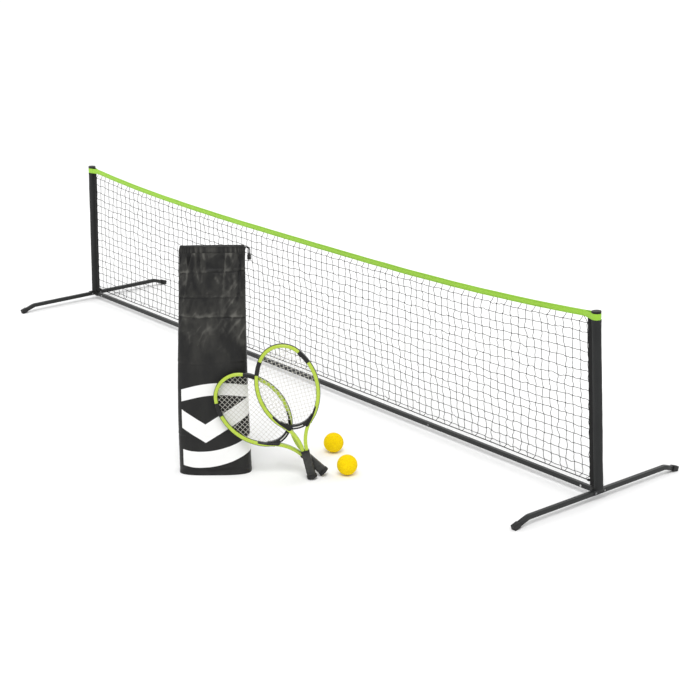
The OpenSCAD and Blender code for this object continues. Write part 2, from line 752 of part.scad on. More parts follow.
module cord_lock_plunger() {
    color("#2a2a2a") display() translate(lock_at) difference() {
        rotate_extrude($fn = arc) intersection() {
            translate([0, plunger_foot]) square([plunger_d / 2, lock_l / 2 + plunger_rise - plunger_foot]);
            translate([0, lock_l / 2 + plunger_rise - plunger_d]) circle(plunger_d, $fn = arc);
        }
        across(slot_w, slot_foot, slot_top + plunger_travel);
    }
}

function coil(turns, r, low, high, steps) = [for (i = [0 : turns * steps])
    [r * cos(360 * i / steps), r * sin(360 * i / steps), low + (high - low) * i / (turns * steps)]];

module cord_lock_spring() {
    r = plunger_d / 2 - spring_clear - spring_wire / 2;
    end = spring_wire / 2 + spring_gap;
    color("#9a9c9e") display() translate(lock_at)
        loft(sweep_rings(coil(spring_turns, r, spring_foot + end, spring_top - end, 12),
            spring_wire / 2, 6));
}

// ---------- rackets ----------

// Frame of a racket: +Y from the butt to the tip, +Z out of the string bed
module racket(u, plane, tilt) {
    on_face() translate([u, plane, butt_v(tilt, plane)]) rotate([0, -tilt, 0])
        rotate([90, 0, 0]) children();
}

module rear() { racket(racket_a_u, plane_a, racket_a_tilt) children(); }
module front() { racket(racket_b_u, plane_b, racket_b_tilt) children(); }

// Half of the tube's centreline, from the tip to the end in the handle
HALF_LINE = concat(
    bow(0, oval_y + tip_c, tip_r, 90, side_turn, 8, 1),
    bow(-side_c, oval_y, side_r, side_turn, -side_turn, 14, 1),
    bow(0, head_foot, tip_r, -side_turn, -throat_turn, 2, 1),
    bow(throat_x, throat_y, throat_r, 180 - throat_turn, 180, 9, -1),
    [[shaft_x, throat_y, 1, 0], [shaft_x, butt_l + shaft_clear, 1, 0]]);
// The frame is one bent tube: head, shoulders, throat and two shafts side by side
module racket_frame() {
    color("#b4d334") loft([for (p = both(HALF_LINE, true))
        [for (c = section(tube_w, beam, tube_r)) [p[0] + c[0] * p[2], p[1] + c[0] * p[3], c[1]]]]);
}

// Plan of one half of the frame, a little wider than the tube
module frame_plan(grow) {
    half = tube_w / 2 + grow;
    polygon(concat(
        [for (p = HALF_LINE) [p[0] + half * p[2], p[1] + half * p[3]]],
        [for (i = [len(HALF_LINE) - 1 : -1 : 0]) let (p = HALF_LINE[i])
            [p[0] - half * p[2], p[1] - half * p[3]]]));
}

// Filled oval with its edge a distance outside the centreline
module oval(grow) {
    y = tip_r * sin(side_turn) + tip_c;
    translate([0, oval_y]) {
        intersection() {
            translate([-side_c, 0]) circle(side_r + grow, $fn = 2 * arc);
            translate([side_c, 0]) circle(side_r + grow, $fn = 2 * arc);
            square([2 * head_w, 2 * y], center = true);
        }
        for (s = SIDES) intersection() {
            translate([0, s * tip_c]) circle(tip_r + grow, $fn = 2 * arc);
            translate([-head_w, s > 0 ? y - 0.5 : -y - head_l]) square([2 * head_w, head_l + 0.5]);
        }
    }
}

module below(y) {
    translate([-head_w, y - head_l]) square([2 * head_w, head_l]);
}

yoke_in = tube_w / 2 + frame_gap + yoke_wing_t;
yoke_top = oval_y - oval_a + yoke_wing_h;

module racket_strings() {
    half_x = floor((head_w / 2 - tube_w - 3) / string_pitch);
    half_y = floor((head_l / 2 - tube_w - 3) / string_pitch);
    color("#e6e3da") translate([0, 0, -string_w / 2]) linear_extrude(string_w) difference() {
        intersection() {
            oval(-tube_w / 2 - frame_gap);
            union() {
                for (i = [-half_x : half_x]) translate([i * string_pitch - string_w / 2, 0])
                    square([string_w, racket_l]);
                for (i = [-half_y : half_y])
                    translate([-head_w / 2, oval_y + i * string_pitch - string_w / 2])
                        square([head_w, string_w]);
            }
        }
        difference() {
            below(yoke_top + snug);
            oval(-yoke_in - snug);
        }
        band_plan();
    }
}

// Plan of the bands from their inner faces outwards, where the strings stop
module band_plan() {
    half = band_turn / 2 + snug;
    for (m = [0, 1]) mirror([m, 0]) translate([-side_c, oval_y]) difference() {
        polygon([[0, 0], for (a = [-half, half]) 2 * side_r * [cos(band_at + a), sin(band_at + a)]]);
        circle(side_r - tube_w / 2 - frame_gap - band_wall - snug, $fn = 2 * arc);
    }
}

// Bridge that closes the head, with a wing up the inside of each arm and a gusset under it
module racket_yoke() {
    depth = beam + 1;
    color("#141414") translate([0, 0, -depth / 2]) linear_extrude(depth) difference() {
        union() {
            difference() {
                intersection() {
                    oval(yoke_out);
                    below(yoke_top);
                }
                oval(-yoke_in);
            }
            for (m = [0, 1]) mirror([m, 0]) gusset();
        }
        for (m = [0, 1]) mirror([m, 0]) frame_plan(frame_gap);
    }
}

// Corner between the bridge and an arm, out to the tube's centreline
gusset_up = 14;
gusset_down = 11;
module gusset() {
    a = throat_turn + gusset_up;
    b = throat_turn - gusset_down;
    polygon([[tip_r * cos(throat_turn), head_foot - tip_r * sin(throat_turn)],
        [tip_r * cos(a), head_foot - tip_r * sin(a)],
        [throat_x - throat_r * cos(b), throat_y + throat_r * sin(b)]]);
}

module band_section(grow) {
    translate([side_r, 0]) rounded(tube_w + 2 * grow, beam + 2 * grow, tube_r);
}

module racket_bands() {
    color("#141414") for (m = [0, 1]) mirror([m, 0, 0]) translate([-side_c, oval_y, 0])
        rotate([0, 0, band_at - band_turn / 2]) rotate_extrude(angle = band_turn, $fn = 2 * arc)
            difference() {
                band_section(frame_gap + band_wall);
                band_section(frame_gap);
            }
}

// A tapered octagonal prism along +Y: four pairs of sloping flats
flat_share = 0.6;
module taper_prism(w0, t0, w1, t1, l) {
    module slab(a, b) {
        translate([0, 0, -w0]) linear_extrude(2 * w0)
            polygon([[-a / 2, 0], [a / 2, 0], [b / 2, l], [-b / 2, l]]);
    }
    intersection() {
        slab(w0, w1);
        rotate([0, 90, 0]) slab(t0, t1);
        rotate([0, 45, 0]) slab((w0 + t0) * flat_share, (w1 + t1) * flat_share);
        rotate([0, -45, 0]) slab((w0 + t0) * flat_share, (w1 + t1) * flat_share);
    }
}

grip_foot = butt_l + seam;
grip_l = grip_top - grip_foot;

// The handle's taper, a distance inside the grip's surface
module handle(inside, l) {
    less = handle_flare * (1 - l / grip_l);
    taper_prism(handle_w + handle_flare - 2 * inside, handle_t + handle_flare - 2 * inside,
        handle_w + less - 2 * inside, handle_t + less - 2 * inside, l);
}

module racket_grip() {
    color("#2c2d29") translate([0, grip_foot, 0]) difference() {
        handle(0, grip_l);
        translate([0, -0.5, 0]) handle(wrap_t, grip_l + 1);
    }
}

module racket_core() {
    color("#5a5a55") difference() {
        translate([0, grip_foot, 0]) handle(wrap_t + snug, grip_l - 1);
        for (s = SIDES) translate([s * (shaft_gap / 2 - snug + handle_w / 2), grip_top, 0])
            cube([handle_w, 2 * (shaft_in + snug), beam + 2 * snug], center = true);
    }
}

module racket_collar() {
    color("#0e0e0e") difference() {
        translate([0, grip_top + seam, 0])
            taper_prism(handle_w + 1, collar_t, handle_w - 0.6, collar_t - 1.4, grip_collar_l);
        for (s = SIDES) translate([s * shaft_x, grip_top + 2 * grip_collar_l, 0]) rotate([90, 0, 0])
            linear_extrude(3 * grip_collar_l) rounded(tube_w + 4 * snug, beam + 4 * snug, tube_r);
    }
}

butt_lip = 2;
module racket_butt() {
    color("#111111") rotate([-90, 0, 0]) rotate_extrude($fn = arc) {
        square([butt_r - butt_round, butt_l]);
        translate([0, butt_round]) square([butt_r, butt_l - butt_round - butt_lip]);
        translate([0, butt_round]) square([butt_r - butt_lip, butt_l - butt_round]);
        translate([butt_r - butt_round, butt_round]) circle(butt_round, $fn = small_arc);
        translate([butt_r - butt_lip, butt_l - butt_lip]) circle(butt_lip, $fn = small_arc);
    }
}

// ---------- balls ----------

module ball(x, y) {
    color("#f2e51b") translate([x, -y, ball_d / 2]) sphere(d = ball_d, $fn = arc);
}

// ---------- nodes ----------

base_bar(-1);  // left_base_bar
base_bar(1);  // right_base_bar
end_caps(-1);  // left_end_caps
end_caps(1);  // right_end_caps
bracket(-1);  // left_bracket
bracket(1);  // right_bracket
bracket_rivets();
crossbar(0);  // crossbar_1
crossbar(1);  // crossbar_2
crossbar(2);  // crossbar_3
crossbar(3);  // crossbar_4
connector(0);  // connector_1
connector(1);  // connector_2
connector(2);  // connector_3
connector_rivets();
snap_button(0);  // snap_button_1
snap_button(1);  // snap_button_2
snap_button(2);  // snap_button_3
snap_button(3);  // snap_button_4
snap_button(4);  // snap_button_5
button_spring_legs();
post(-1);  // left_post
post(1);  // right_post
post_cap(-1);  // left_post_cap
post_cap(1);  // right_post_cap
sleeve(-1);  // left_sleeve
sleeve(1);  // right_sleeve
net_mesh();
top_tape();
bottom_rope();
corner_ties();
bag_body();
bag_hem();
drawcord(FRONT_STRAND);  // drawcord_front
drawcord(REAR_STRAND);  // drawcord_rear
drawcord_knot();
cord_lock_barrel();
cord_lock_plunger();
cord_lock_spring();
rear() racket_frame();  // rear_racket_frame
rear() racket_yoke();  // rear_racket_yoke
rear() racket_bands();  // rear_racket_bands
rear() racket_strings();  // rear_racket_strings
rear() racket_core();  // rear_racket_core
rear() racket_grip();  // rear_racket_grip
rear() racket_collar();  // rear_racket_collar
rear() racket_butt();  // rear_racket_butt
front() racket_frame();  // front_racket_frame
front() racket_yoke();  // front_racket_yoke
front() racket_bands();  // front_racket_bands
front() racket_strings();  // front_racket_strings
front() racket_core();  // front_racket_core
front() racket_grip();  // front_racket_grip
front() racket_collar();  // front_racket_collar
front() racket_butt();  // front_racket_butt
ball(ball_1_x, ball_1_y);  // ball_1
ball(ball_2_x, ball_2_y);  // ball_2
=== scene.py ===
"""Looks for the portable mini tennis set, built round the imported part. Metres, +Z up."""
import random
from math import acos, asin, atan, copysign, cos, exp, pi, radians, sin, sqrt, tan

import bmesh
import bpy
import numpy as np
from mathutils import Matrix, Vector, noise


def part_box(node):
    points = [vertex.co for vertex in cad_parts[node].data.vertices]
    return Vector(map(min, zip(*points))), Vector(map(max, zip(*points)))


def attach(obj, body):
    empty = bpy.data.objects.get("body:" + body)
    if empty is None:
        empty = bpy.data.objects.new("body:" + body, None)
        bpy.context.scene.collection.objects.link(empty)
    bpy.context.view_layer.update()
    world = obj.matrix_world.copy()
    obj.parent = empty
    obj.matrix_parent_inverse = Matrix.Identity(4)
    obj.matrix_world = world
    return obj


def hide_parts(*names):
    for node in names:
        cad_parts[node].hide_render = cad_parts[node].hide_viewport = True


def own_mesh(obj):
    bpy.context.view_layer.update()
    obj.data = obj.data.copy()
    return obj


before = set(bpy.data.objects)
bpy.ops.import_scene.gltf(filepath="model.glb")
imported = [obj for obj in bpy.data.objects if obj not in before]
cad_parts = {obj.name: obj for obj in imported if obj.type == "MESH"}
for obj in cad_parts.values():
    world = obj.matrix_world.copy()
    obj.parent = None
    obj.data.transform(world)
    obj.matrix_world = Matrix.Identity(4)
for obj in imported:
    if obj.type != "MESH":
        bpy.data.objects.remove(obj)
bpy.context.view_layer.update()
rng = np.random.default_rng(11)
MM = 0.001

# ---- sizes that are shared with the part
POST_X = 1.525
LEAN = radians(3.5)
BAR_TOP = 0.034
SLEEVE_R = 0.0155
STRIP_END = 0.0360
TAPE_LOW, TAPE_MID, TAPE_HALF = 0.580, 0.590, 0.0099
TAPE_REACH, TAPE_NOSE, TAPE_LOOP_R = 1.4415, 0.0515, 0.0147
NET_SAG = 0.040
ROPE_Z = 0.051
SLEEVE_FOOT = 0.0364
BASE_MID = 0.0265
BEND_AT, BEND_R, LEG_SLOPE = 0.310, 0.045, radians(18)
BAR_W, CAP_WALL, CAP_FOOT = 0.015, 0.00155, 0.002

BAG_AT = Vector((0.581, -0.799, 0.0))
TURN = radians(51)
FACE_LEAN = radians(6)
BAG_H, BAG_FOOT_W, BAG_MOUTH_W = 0.755, 0.234, 0.213
BAG_FOOT_T, BAG_MOUTH_T, BAG_SLUMP, HEM_H = 0.104, 0.024, 0.007, 0.022
BAG_FLARE, BAG_SQUARE, HEM_CORNER = 0.010, 0.62, 0.016

RACKET_L, HEAD_L, HEAD_W = 0.455, 0.284, 0.204
TUBE_W, BEAM, TUBE_R = 0.0115, 0.019, 0.004
TIP_R, THROAT_TURN = 0.076, radians(47)
SHAFT_X = 0.0062
BUTT_R, BUTT_ROUND = 0.017, 0.003
THROAT_CLEAR, SHAFT_FOOT, GRIP_FOOT = 0.004, 0.032, 0.0122
HANDLE_W, HANDLE_T, HANDLE_FLARE = 0.027, 0.0246, 0.002
PLANE_REAR, PLANE_FRONT = -0.01105, -0.03795
REAR_AT, REAR_TILT = 0.356, radians(47)
FRONT_AT, FRONT_TILT = 0.316, radians(14)

CORD_D = 0.003
EYELET = Vector((BAG_SLUMP + BAG_MOUTH_W / 2 + 0.0005, BAG_H * sin(FACE_LEAN) + BAG_MOUTH_T / 2,
                 BAG_H * cos(FACE_LEAN) - 0.0069))
FRONT_STRAND = [
    (0, -2.4, 0), (3, -2.4, 0), (6.5, -1.6, -1.4), (9, 0, -5.4), (9.4, 2.2, -11), (9.3, 4, -17),
    (9.2, 4, -22.6), (9.2, 1.4, -27.4), (9.2, -3.4, -29.8), (9.2, -9, -30), (9.2, -14, -30),
    (9.2, -17.6, -30)]
REAR_STRAND = [
    (0, 2.4, 0), (3.4, 2.6, 0.4), (7.6, 3.4, -0.6), (11.2, 4.6, -4.2), (12.8, 5.4, -9.6),
    (13, 6, -15.6), (12.8, 5.8, -21.6), (12.8, 3.2, -27), (12.8, -1.6, -29.6), (12.8, -7.4, -30),
    (12.8, -13, -30), (12.8, -17.6, -30)]


def rot(axis, angle):
    return Matrix.Rotation(angle, 4, axis)


DISPLAY = Matrix.Translation(BAG_AT) @ rot("Z", TURN)
ON_FACE = DISPLAY @ rot("X", -FACE_LEAN)


# ---- camera, as it was found for the photograph from the feet, posts and tape ends
LENS, SENSOR, FAR = 85.06, 36, 60
CAMERA_AT = (4.773, -3.6048, 2.0304)
CAMERA_RIGHT, CAMERA_UP = Vector((0.62982, 0.77666, -0.01147)), Vector((-0.22954, 0.20021, 0.95249))


def put(name, data):
    """A new object in the scene."""
    obj = bpy.data.objects.new(name, data)
    bpy.context.scene.collection.objects.link(obj)
    return obj


def make_camera():
    data = bpy.data.cameras.new("camera")
    data.lens, data.sensor_width, data.clip_end = LENS, SENSOR, FAR
    axes = Matrix((CAMERA_RIGHT, CAMERA_UP, CAMERA_RIGHT.cross(CAMERA_UP)))
    cam = put("camera", data)
    cam.matrix_world = Matrix.Translation(CAMERA_AT) @ axes.transposed().to_4x4()
    bpy.context.scene.camera = cam


make_camera()


# ---- materials
def grey(level):
    return level, level, level


class Tree:
    """A node tree, with short calls that make its nodes."""

    def __init__(self, tree):
        self.tree = tree

    def feed(self, node, inputs):
        """Sets each input to its value, or links it to another node's socket."""
        for key, value in inputs.items():
            if isinstance(value, bpy.types.NodeSocket):
                self.tree.links.new(value, node.inputs[key])
            else:
                node.inputs[key].default_value = value

    def new(self, kind, out, inputs, **settings):
        """One output of a new node."""
        node = self.tree.nodes.new("ShaderNode" + kind)
        for name, value in settings.items():
            setattr(node, name, value)
        self.feed(node, inputs)
        return node.outputs[out]

    def math(self, op, a, b=0.0, clamp=False):
        return self.new("Math", 0, {0: a, 1: b}, operation=op, use_clamp=clamp)


class Nodes(Tree):
    """A material with one principled shader, and short calls for the textures that feed it."""

    def __init__(self, name, colour, rough, metallic=0.0, specular=0.5):
        self.mat = bpy.data.materials.new(name)
        self.mat.use_nodes = True
        super().__init__(self.mat.node_tree)
        self.bsdf = self.tree.nodes["Principled BSDF"]
        self.set({"Base Color": (*colour, 1), "Roughness": rough, "Metallic": metallic,
                  "Specular IOR Level": specular})
        coord = self.tree.nodes.new("ShaderNodeTexCoord")
        self.at, self.uv = coord.outputs["Object"], coord.outputs["UV"]

    def set(self, inputs):
        self.feed(self.bsdf, inputs)

    def place(self, scale):
        return self.new("Mapping", "Vector", {"Scale": scale, "Vector": self.at})

    def noise(self, scale, detail=3.0, vector=None):
        return self.new("TexNoise", "Fac", {"Scale": scale, "Detail": detail, "Vector": vector or self.at})

    def wave(self, scale, direction, distortion=0.0):
        inputs = {"Scale": scale, "Distortion": distortion, "Vector": self.at}
        return self.new("TexWave", "Fac", inputs, bands_direction=direction)

    def voronoi(self, scale):
        return self.new("TexVoronoi", "Distance", {"Scale": scale, "Vector": self.at})

    def attribute(self, name):
        return self.new("Attribute", "Fac", {}, attribute_name=name)

    def ramp(self, fac, low, high):
        """Maps a factor to 0..1 between two values."""
        return self.new("MapRange", "Result", {"Value": fac, "From Min": low, "From Max": high})

    def mix(self, fac, a, b):
        a, b = ((*c, 1) if isinstance(c, tuple) else c for c in (a, b))
        return self.new("Mix", "Result", {"Factor": fac, "A": a, "B": b}, data_type="RGBA")

    def colour(self, socket):
        self.set({"Base Color": socket})

    def rough(self, fac, low, high):
        self.set({"Roughness": self.new("MapRange", "Result", {"Value": fac, "To Min": low, "To Max": high})})

    def bump(self, height, distance, strength=1.0, under=None):
        inputs = {"Distance": distance, "Strength": strength, "Height": height}
        if under:
            inputs["Normal"] = under
        normal = self.new("Bump", "Normal", inputs)
        self.set({"Normal": normal})
        return normal


def bands(pitch):
    """Scale of a wave texture whose bands lie a pitch apart."""
    return 1 / pitch / 3.1416


def powder_coat(name, base, worn):
    """Fine orange-peel coat, a little lighter where hands and floors have rubbed it."""
    m = Nodes(name, base, 0.42, 0.0, 0.32)
    patches = m.ramp(m.noise(9, 5), 0.52, 0.8)
    scuffs = m.ramp(m.noise(60, 4, m.place((0.25, 1, 1))), 0.62, 0.72)
    m.colour(m.mix(m.math("MULTIPLY", scuffs, patches), base, worn))
    m.rough(patches, 0.36, 0.52)
    m.bump(m.noise(900, 2), 0.00008)
    return m.mat


def moulded(name, base, rough=0.5, grain=1200):
    m = Nodes(name, base, rough, 0.0, 0.3)
    m.colour(m.mix(m.noise(35, 3), base, tuple(min(1, c * 1.5 + 0.004) for c in base)))
    m.rough(m.noise(50, 3), rough - 0.06, rough + 0.08)
    m.bump(m.noise(grain, 2), 0.00006)
    return m.mat


def zinc(name, base, rough=0.34):
    m = Nodes(name, base, rough, 1.0)
    spangle = m.voronoi(180)
    m.colour(m.mix(spangle, base, tuple(c * 0.75 for c in base)))
    m.rough(m.noise(120, 3), rough - 0.08, rough + 0.12)
    return m.mat


def woven(name, base, light, pitch):
    """Plain weave: two sets of threads at a pitch, over soft uneven wear."""
    m = Nodes(name, base, 0.85, 0.0, 0.25)
    warp, weft = m.wave(bands(pitch), "X"), m.wave(bands(pitch), "Z")
    worn = m.ramp(m.noise(14, 4), 0.35, 0.75)
    m.colour(m.mix(m.math("MULTIPLY", m.math("MULTIPLY", warp, weft), worn), base, light))
    m.set({"Sheen Weight": 0.04, "Sheen Roughness": 0.5})
    m.bump(m.math("ADD", warp, weft), 0.00012)
    return m.mat


def twine(name, base, light, pitch=0.0016):
    m = Nodes(name, base, 0.75, 0.0, 0.25)
    strands = m.wave(bands(pitch), "DIAGONAL", 1.5)
    m.colour(m.mix(strands, base, light))
    m.bump(strands, 0.0002)
    return m.mat


def webbing(name):
    """Lime tape: ribs across its width, slightly uneven dye, and darker where ribs and threads cross."""
    base, dark = (0.33, 0.63, 0.045), (0.22, 0.46, 0.03)
    m = Nodes(name, base, 0.78, 0.0, 0.3)
    ribs = m.wave(bands(0.0011), "Z")
    threads = m.wave(bands(0.0016), "X")
    dye = m.ramp(m.noise(7, 4), 0.3, 0.8)
    tone = m.mix(m.math("MULTIPLY", dye, 0.35), base, (0.40, 0.70, 0.07))
    m.colour(m.mix(m.math("MULTIPLY", m.math("MULTIPLY", ribs, threads), 0.35), tone, dark))
    m.set({"Sheen Weight": 0.15})
    m.bump(m.math("ADD", ribs, m.math("MULTIPLY", threads, 0.5)), 0.00018)
    return m.mat


PRINT_SIDE, PRINT_EDGE = 0.108, 2500


def white_print(m, u, v):
    """Mask of the bag's generic print: an arch, a chevron and a sweep, on its front only."""

    def band(middle, half):
        return m.math("SUBTRACT", half, m.math("ABSOLUTE", m.math("SUBTRACT", v, middle)))

    def square(shift):
        side = m.math("ADD", u, shift)
        return m.math("MULTIPLY", side, side)

    arch = band(m.math("SUBTRACT", 0.288, m.math("MULTIPLY", square(-0.02), 1.4)), 0.020)
    ray = m.math("ABSOLUTE", m.math("ADD", u, 0.03))
    chevron = band(m.math("ADD", 0.140, m.math("MULTIPLY", ray, 0.62)), 0.031)
    low_sweep = band(m.math("ADD", 0.052, m.math("MULTIPLY", square(0.05), 1.8)), 0.027)
    shape = m.math("MAXIMUM", m.math("MAXIMUM", arch, chevron), low_sweep)
    shape = m.math("MINIMUM", shape, m.math("ADD", u, PRINT_SIDE))
    shape = m.math("MINIMUM", shape, m.math("SUBTRACT", m.attribute("front"), 0.5))
    return m.math("MULTIPLY", shape, PRINT_EDGE, clamp=True)


def bag_cloth(name, printed):
    """Thin coated nylon: fine weave, painted shade in the deep fold grooves, a painted sheen on the high
    crumpled ridges, and a print on the body.
    """
    base, light, painted_ridge_sheen = (0.004, 0.004, 0.0035), (0.034, 0.033, 0.029), (0.115, 0.112, 0.100)
    m = Nodes(name, base, 0.40, 0.0, 0.32)
    crumple = m.ramp(m.noise(24, 5, m.place((1, 1, 0.35))), 0.38, 0.68)
    height = m.attribute("height")
    # painted shade: the cloth goes near black where the height mark is low, in the deep fold grooves
    cloth = m.mix(m.ramp(height, 0.0, 0.42), grey(0.0015), m.mix(crumple, base, light))
    # painted sheen: the highest ridges turn lighter, more so where the crumple noise is high
    painted_sheen = m.math("MULTIPLY", m.ramp(height, 0.56, 1.0), m.ramp(crumple, -0.2, 0.8))
    cloth = m.mix(painted_sheen, cloth, painted_ridge_sheen)
    if printed:
        split = m.tree.nodes.new("ShaderNodeSeparateXYZ")
        m.feed(split, {0: m.uv})
        u, v = split.outputs[0], split.outputs[1]
        mask = white_print(m, u, v)
        low_cloth = m.mix(crumple, grey(0.003), (0.009, 0.009, 0.008))
        # the print's ink, greyed by painted shade where it lies in the deep fold grooves
        ink = m.mix(m.ramp(height, 0.0, 0.35), (0.66, 0.66, 0.65), (0.88, 0.88, 0.87))
        cloth = m.mix(mask, m.mix(m.ramp(v, 0.44, 0.34), cloth, low_cloth), ink)
        m.rough(mask, 0.50, 0.62)
    m.colour(cloth)
    m.set({"Sheen Weight": 0.03})
    weave = m.math("ADD", m.wave(bands(0.0009), "X"), m.wave(bands(0.0009), "Z"))
    m.bump(m.noise(55, 5, m.place((1, 1, 0.6))), 0.0016, 0.55, m.bump(weave, 0.00005))
    return m.mat


def lacquer(name):
    base = (0.40, 0.545, 0.022)
    m = Nodes(name, base, 0.22)
    m.colour(m.mix(m.ramp(m.noise(18, 3), 0.3, 0.8), base, (0.46, 0.605, 0.036)))
    m.set({"Coat Weight": 0.6, "Coat Roughness": 0.08})
    m.rough(m.noise(70, 3), 0.2, 0.34)
    m.bump(m.noise(300, 2), 0.00003)
    return m.mat


def monofilament(name):
    m = Nodes(name, (0.62, 0.60, 0.55), 0.35)
    m.colour(m.mix(m.noise(400, 2), (0.56, 0.54, 0.49), (0.70, 0.68, 0.63)))
    m.set({"Coat Weight": 0.3})
    m.bump(m.wave(900, "DIAGONAL"), 0.00004)
    return m.mat


def wrap(name):
    """Synthetic wrap with rows of small holes and a dull, slightly tacky skin."""
    base = (0.011, 0.0115, 0.009)
    m = Nodes(name, base, 0.5, 0.0, 0.5)
    holes = m.ramp(m.voronoi(330), 0.12, 0.3)
    m.colour(m.mix(m.ramp(m.noise(60, 4), 0.35, 0.75), base, (0.034, 0.035, 0.031)))
    m.rough(m.noise(90, 3), 0.42, 0.6)
    m.bump(m.math("ADD", holes, m.math("MULTIPLY", m.noise(1100, 2), 0.3)), 0.0003, 0.8)
    return m.mat


def foam(name):
    """Open-cell foam: pores over a bright yellow, a little deeper in random patches and, as painted shade, in
    the pores' hollows.
    """
    base, deep = (0.95, 0.70, 0.003), (0.82, 0.53, 0.002)
    m = Nodes(name, base, 0.9, 0.0, 0.12)
    pores = m.ramp(m.voronoi(620), 0.1, 0.42)
    # painted shade: the deeper yellow fills the pores' hollows, and also random patches
    m.colour(m.mix(m.math("MULTIPLY", pores, m.ramp(m.noise(240, 3), 0.25, 0.6)), deep, base))
    m.set({"Subsurface Weight": 0.08, "Subsurface Radius": (0.004, 0.003, 0.001)})
    m.bump(m.math("ADD", pores, m.math("MULTIPLY", m.noise(90, 4), 0.6)), 0.0005, 0.9)
    return m.mat


MATS = {
    "coat": powder_coat("stand_coat", (0.012, 0.013, 0.0125), (0.040, 0.041, 0.039)),
    "bracket": powder_coat("bracket_coat", (0.009, 0.0095, 0.0095), (0.03, 0.03, 0.029)),
    "cap": moulded("cap_plastic", grey(0.007), 0.5),
    "connector": zinc("connector_zinc", (0.52, 0.53, 0.54)),
    "rivet": zinc("rivet_zinc", (0.24, 0.24, 0.245), 0.42),
    "spring": zinc("spring_steel", grey(0.66), 0.22),
    "sleeve": woven("sleeve_cloth", (0.020, 0.021, 0.021), (0.042, 0.043, 0.044), 0.0012),
    "strip": woven("strip_cloth", grey(0.008), grey(0.020), 0.0012),
    "net": twine("net_twine", grey(0.006), grey(0.018)),
    "stitch_dark": twine("dark_thread", grey(0.012), grey(0.04), 0.0008),
    "tape": webbing("tape_webbing"),
    "stitch_lime": twine("lime_thread", (0.16, 0.34, 0.02), (0.24, 0.46, 0.03), 0.0008),
    "bag": bag_cloth("bag_nylon", True),
    "hem": bag_cloth("hem_nylon", False),
    "cord": twine("braided_cord", grey(0.010), grey(0.034), 0.0012),
    "lock": moulded("lock_plastic", grey(0.012), 0.35),
    "lacquer": lacquer("lime_lacquer"),
    "trim": moulded("racket_trim", grey(0.007), 0.25),
    "inlay": moulded("yoke_inlay", (0.50, 0.50, 0.48), 0.35),
    "string": monofilament("string_nylon"),
    "core": moulded("handle_foam", (0.09, 0.09, 0.085), 0.8, 500),
    "grip": wrap("grip_wrap"),
    "collar": moulded("collar_rubber", grey(0.010), 0.55),
    "foam": foam("ball_foam"),
}


# ---- meshes
def wobble(x, y, z):
    """Smooth noise at a place, about -1 to 1."""
    return noise.noise(Vector((x, y, z)))


def piece(name, verts, faces, mat, body, slot=None, stands_for=None, smooth=True, uvs=None,
          matrix=None, marks=None):
    """A mesh object that rides on a body. uvs has a pair, and each of marks a number, a vertex."""
    mesh = bpy.data.meshes.new(name)
    mesh.from_pydata([tuple(v) for v in verts], [], [tuple(f) for f in faces])
    mesh.materials.append(MATS[mat])
    if uvs is not None:
        layer = mesh.uv_layers.new(name="UVMap")
        index = np.empty(len(mesh.loops), dtype=np.int32)
        mesh.loops.foreach_get("vertex_index", index)
        layer.data.foreach_set("uv", np.asarray(uvs, dtype=np.float32)[index].ravel())
    for mark, values in (marks or {}).items():
        layer = mesh.attributes.new(mark, "FLOAT", "POINT")
        layer.data.foreach_set("value", np.asarray(values, dtype=np.float32))
    if smooth:
        mesh.polygons.foreach_set("use_smooth", [True] * len(mesh.polygons))
    if matrix is not None:
        mesh.transform(matrix)
    mesh.update()
    obj = put(name, mesh)
    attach(obj, body)
    if stands_for:
        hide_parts(stands_for)
    return obj


class Mesh:
    """Collects several shapes into one mesh."""

    def __init__(self):
        self.verts, self.faces, self.count = [], [], 0

    def add(self, verts, faces):
        self.verts.append(np.asarray(verts, dtype=float).reshape(-1, 3))
        self.faces.extend(tuple(i + self.count for i in f) for f in faces)
        self.count += len(self.verts[-1])

    def done(self, name, mat, body, slot=None, stands_for=None, **more):
        return piece(name, np.concatenate(self.verts), self.faces, mat, body, slot, stands_for, **more)


def turns(count):
    """Even angles round a circle."""
    return [2 * pi * i / count for i in range(count)]


def grid_faces(rows, columns, ring=False):
    """Faces of a grid whose last column joins the first, and in a ring the last row too."""
    return [(j * columns + i, j * columns + (i + 1) % columns,
             (j + 1) % rows * columns + (i + 1) % columns, (j + 1) % rows * columns + i)
            for j in range(rows if ring else rows - 1) for i in range(columns)]


def sweep(line, normals, section, closed=False):
    """A section of (along the normal, along the binormal) pairs, carried along a line."""
    line, normals = np.asarray(line, float), np.asarray(normals, float)
    if closed:
        ahead, behind = np.roll(line, -1, 0), np.roll(line, 1, 0)
    else:
        ahead, behind = np.vstack([line[1:], line[-1:]]), np.vstack([line[:1], line[:-1]])
    tangent = ahead - behind
    tangent /= np.linalg.norm(tangent, axis=1)[:, None]
    side = normals - tangent * np.sum(normals * tangent, axis=1)[:, None]
    side /= np.linalg.norm(side, axis=1)[:, None]
    other = np.cross(tangent, side)
    section = np.asarray(section, float)
    if section.ndim == 2:
        section = np.broadcast_to(section, (len(line), *section.shape))
    rings = line[:, None] + section[:, :, :1] * side[:, None] + section[:, :, 1:] * other[:, None]
    n = section.shape[1]
    faces = grid_faces(len(line), n, closed)
    if not closed:
        faces += [tuple(range(n - 1, -1, -1)), tuple(range((len(line) - 1) * n, len(line) * n))]
    return rings.reshape(-1, 3), faces


def circle_section(r, sides):
    return [(r * cos(a), r * sin(a)) for a in turns(sides)]


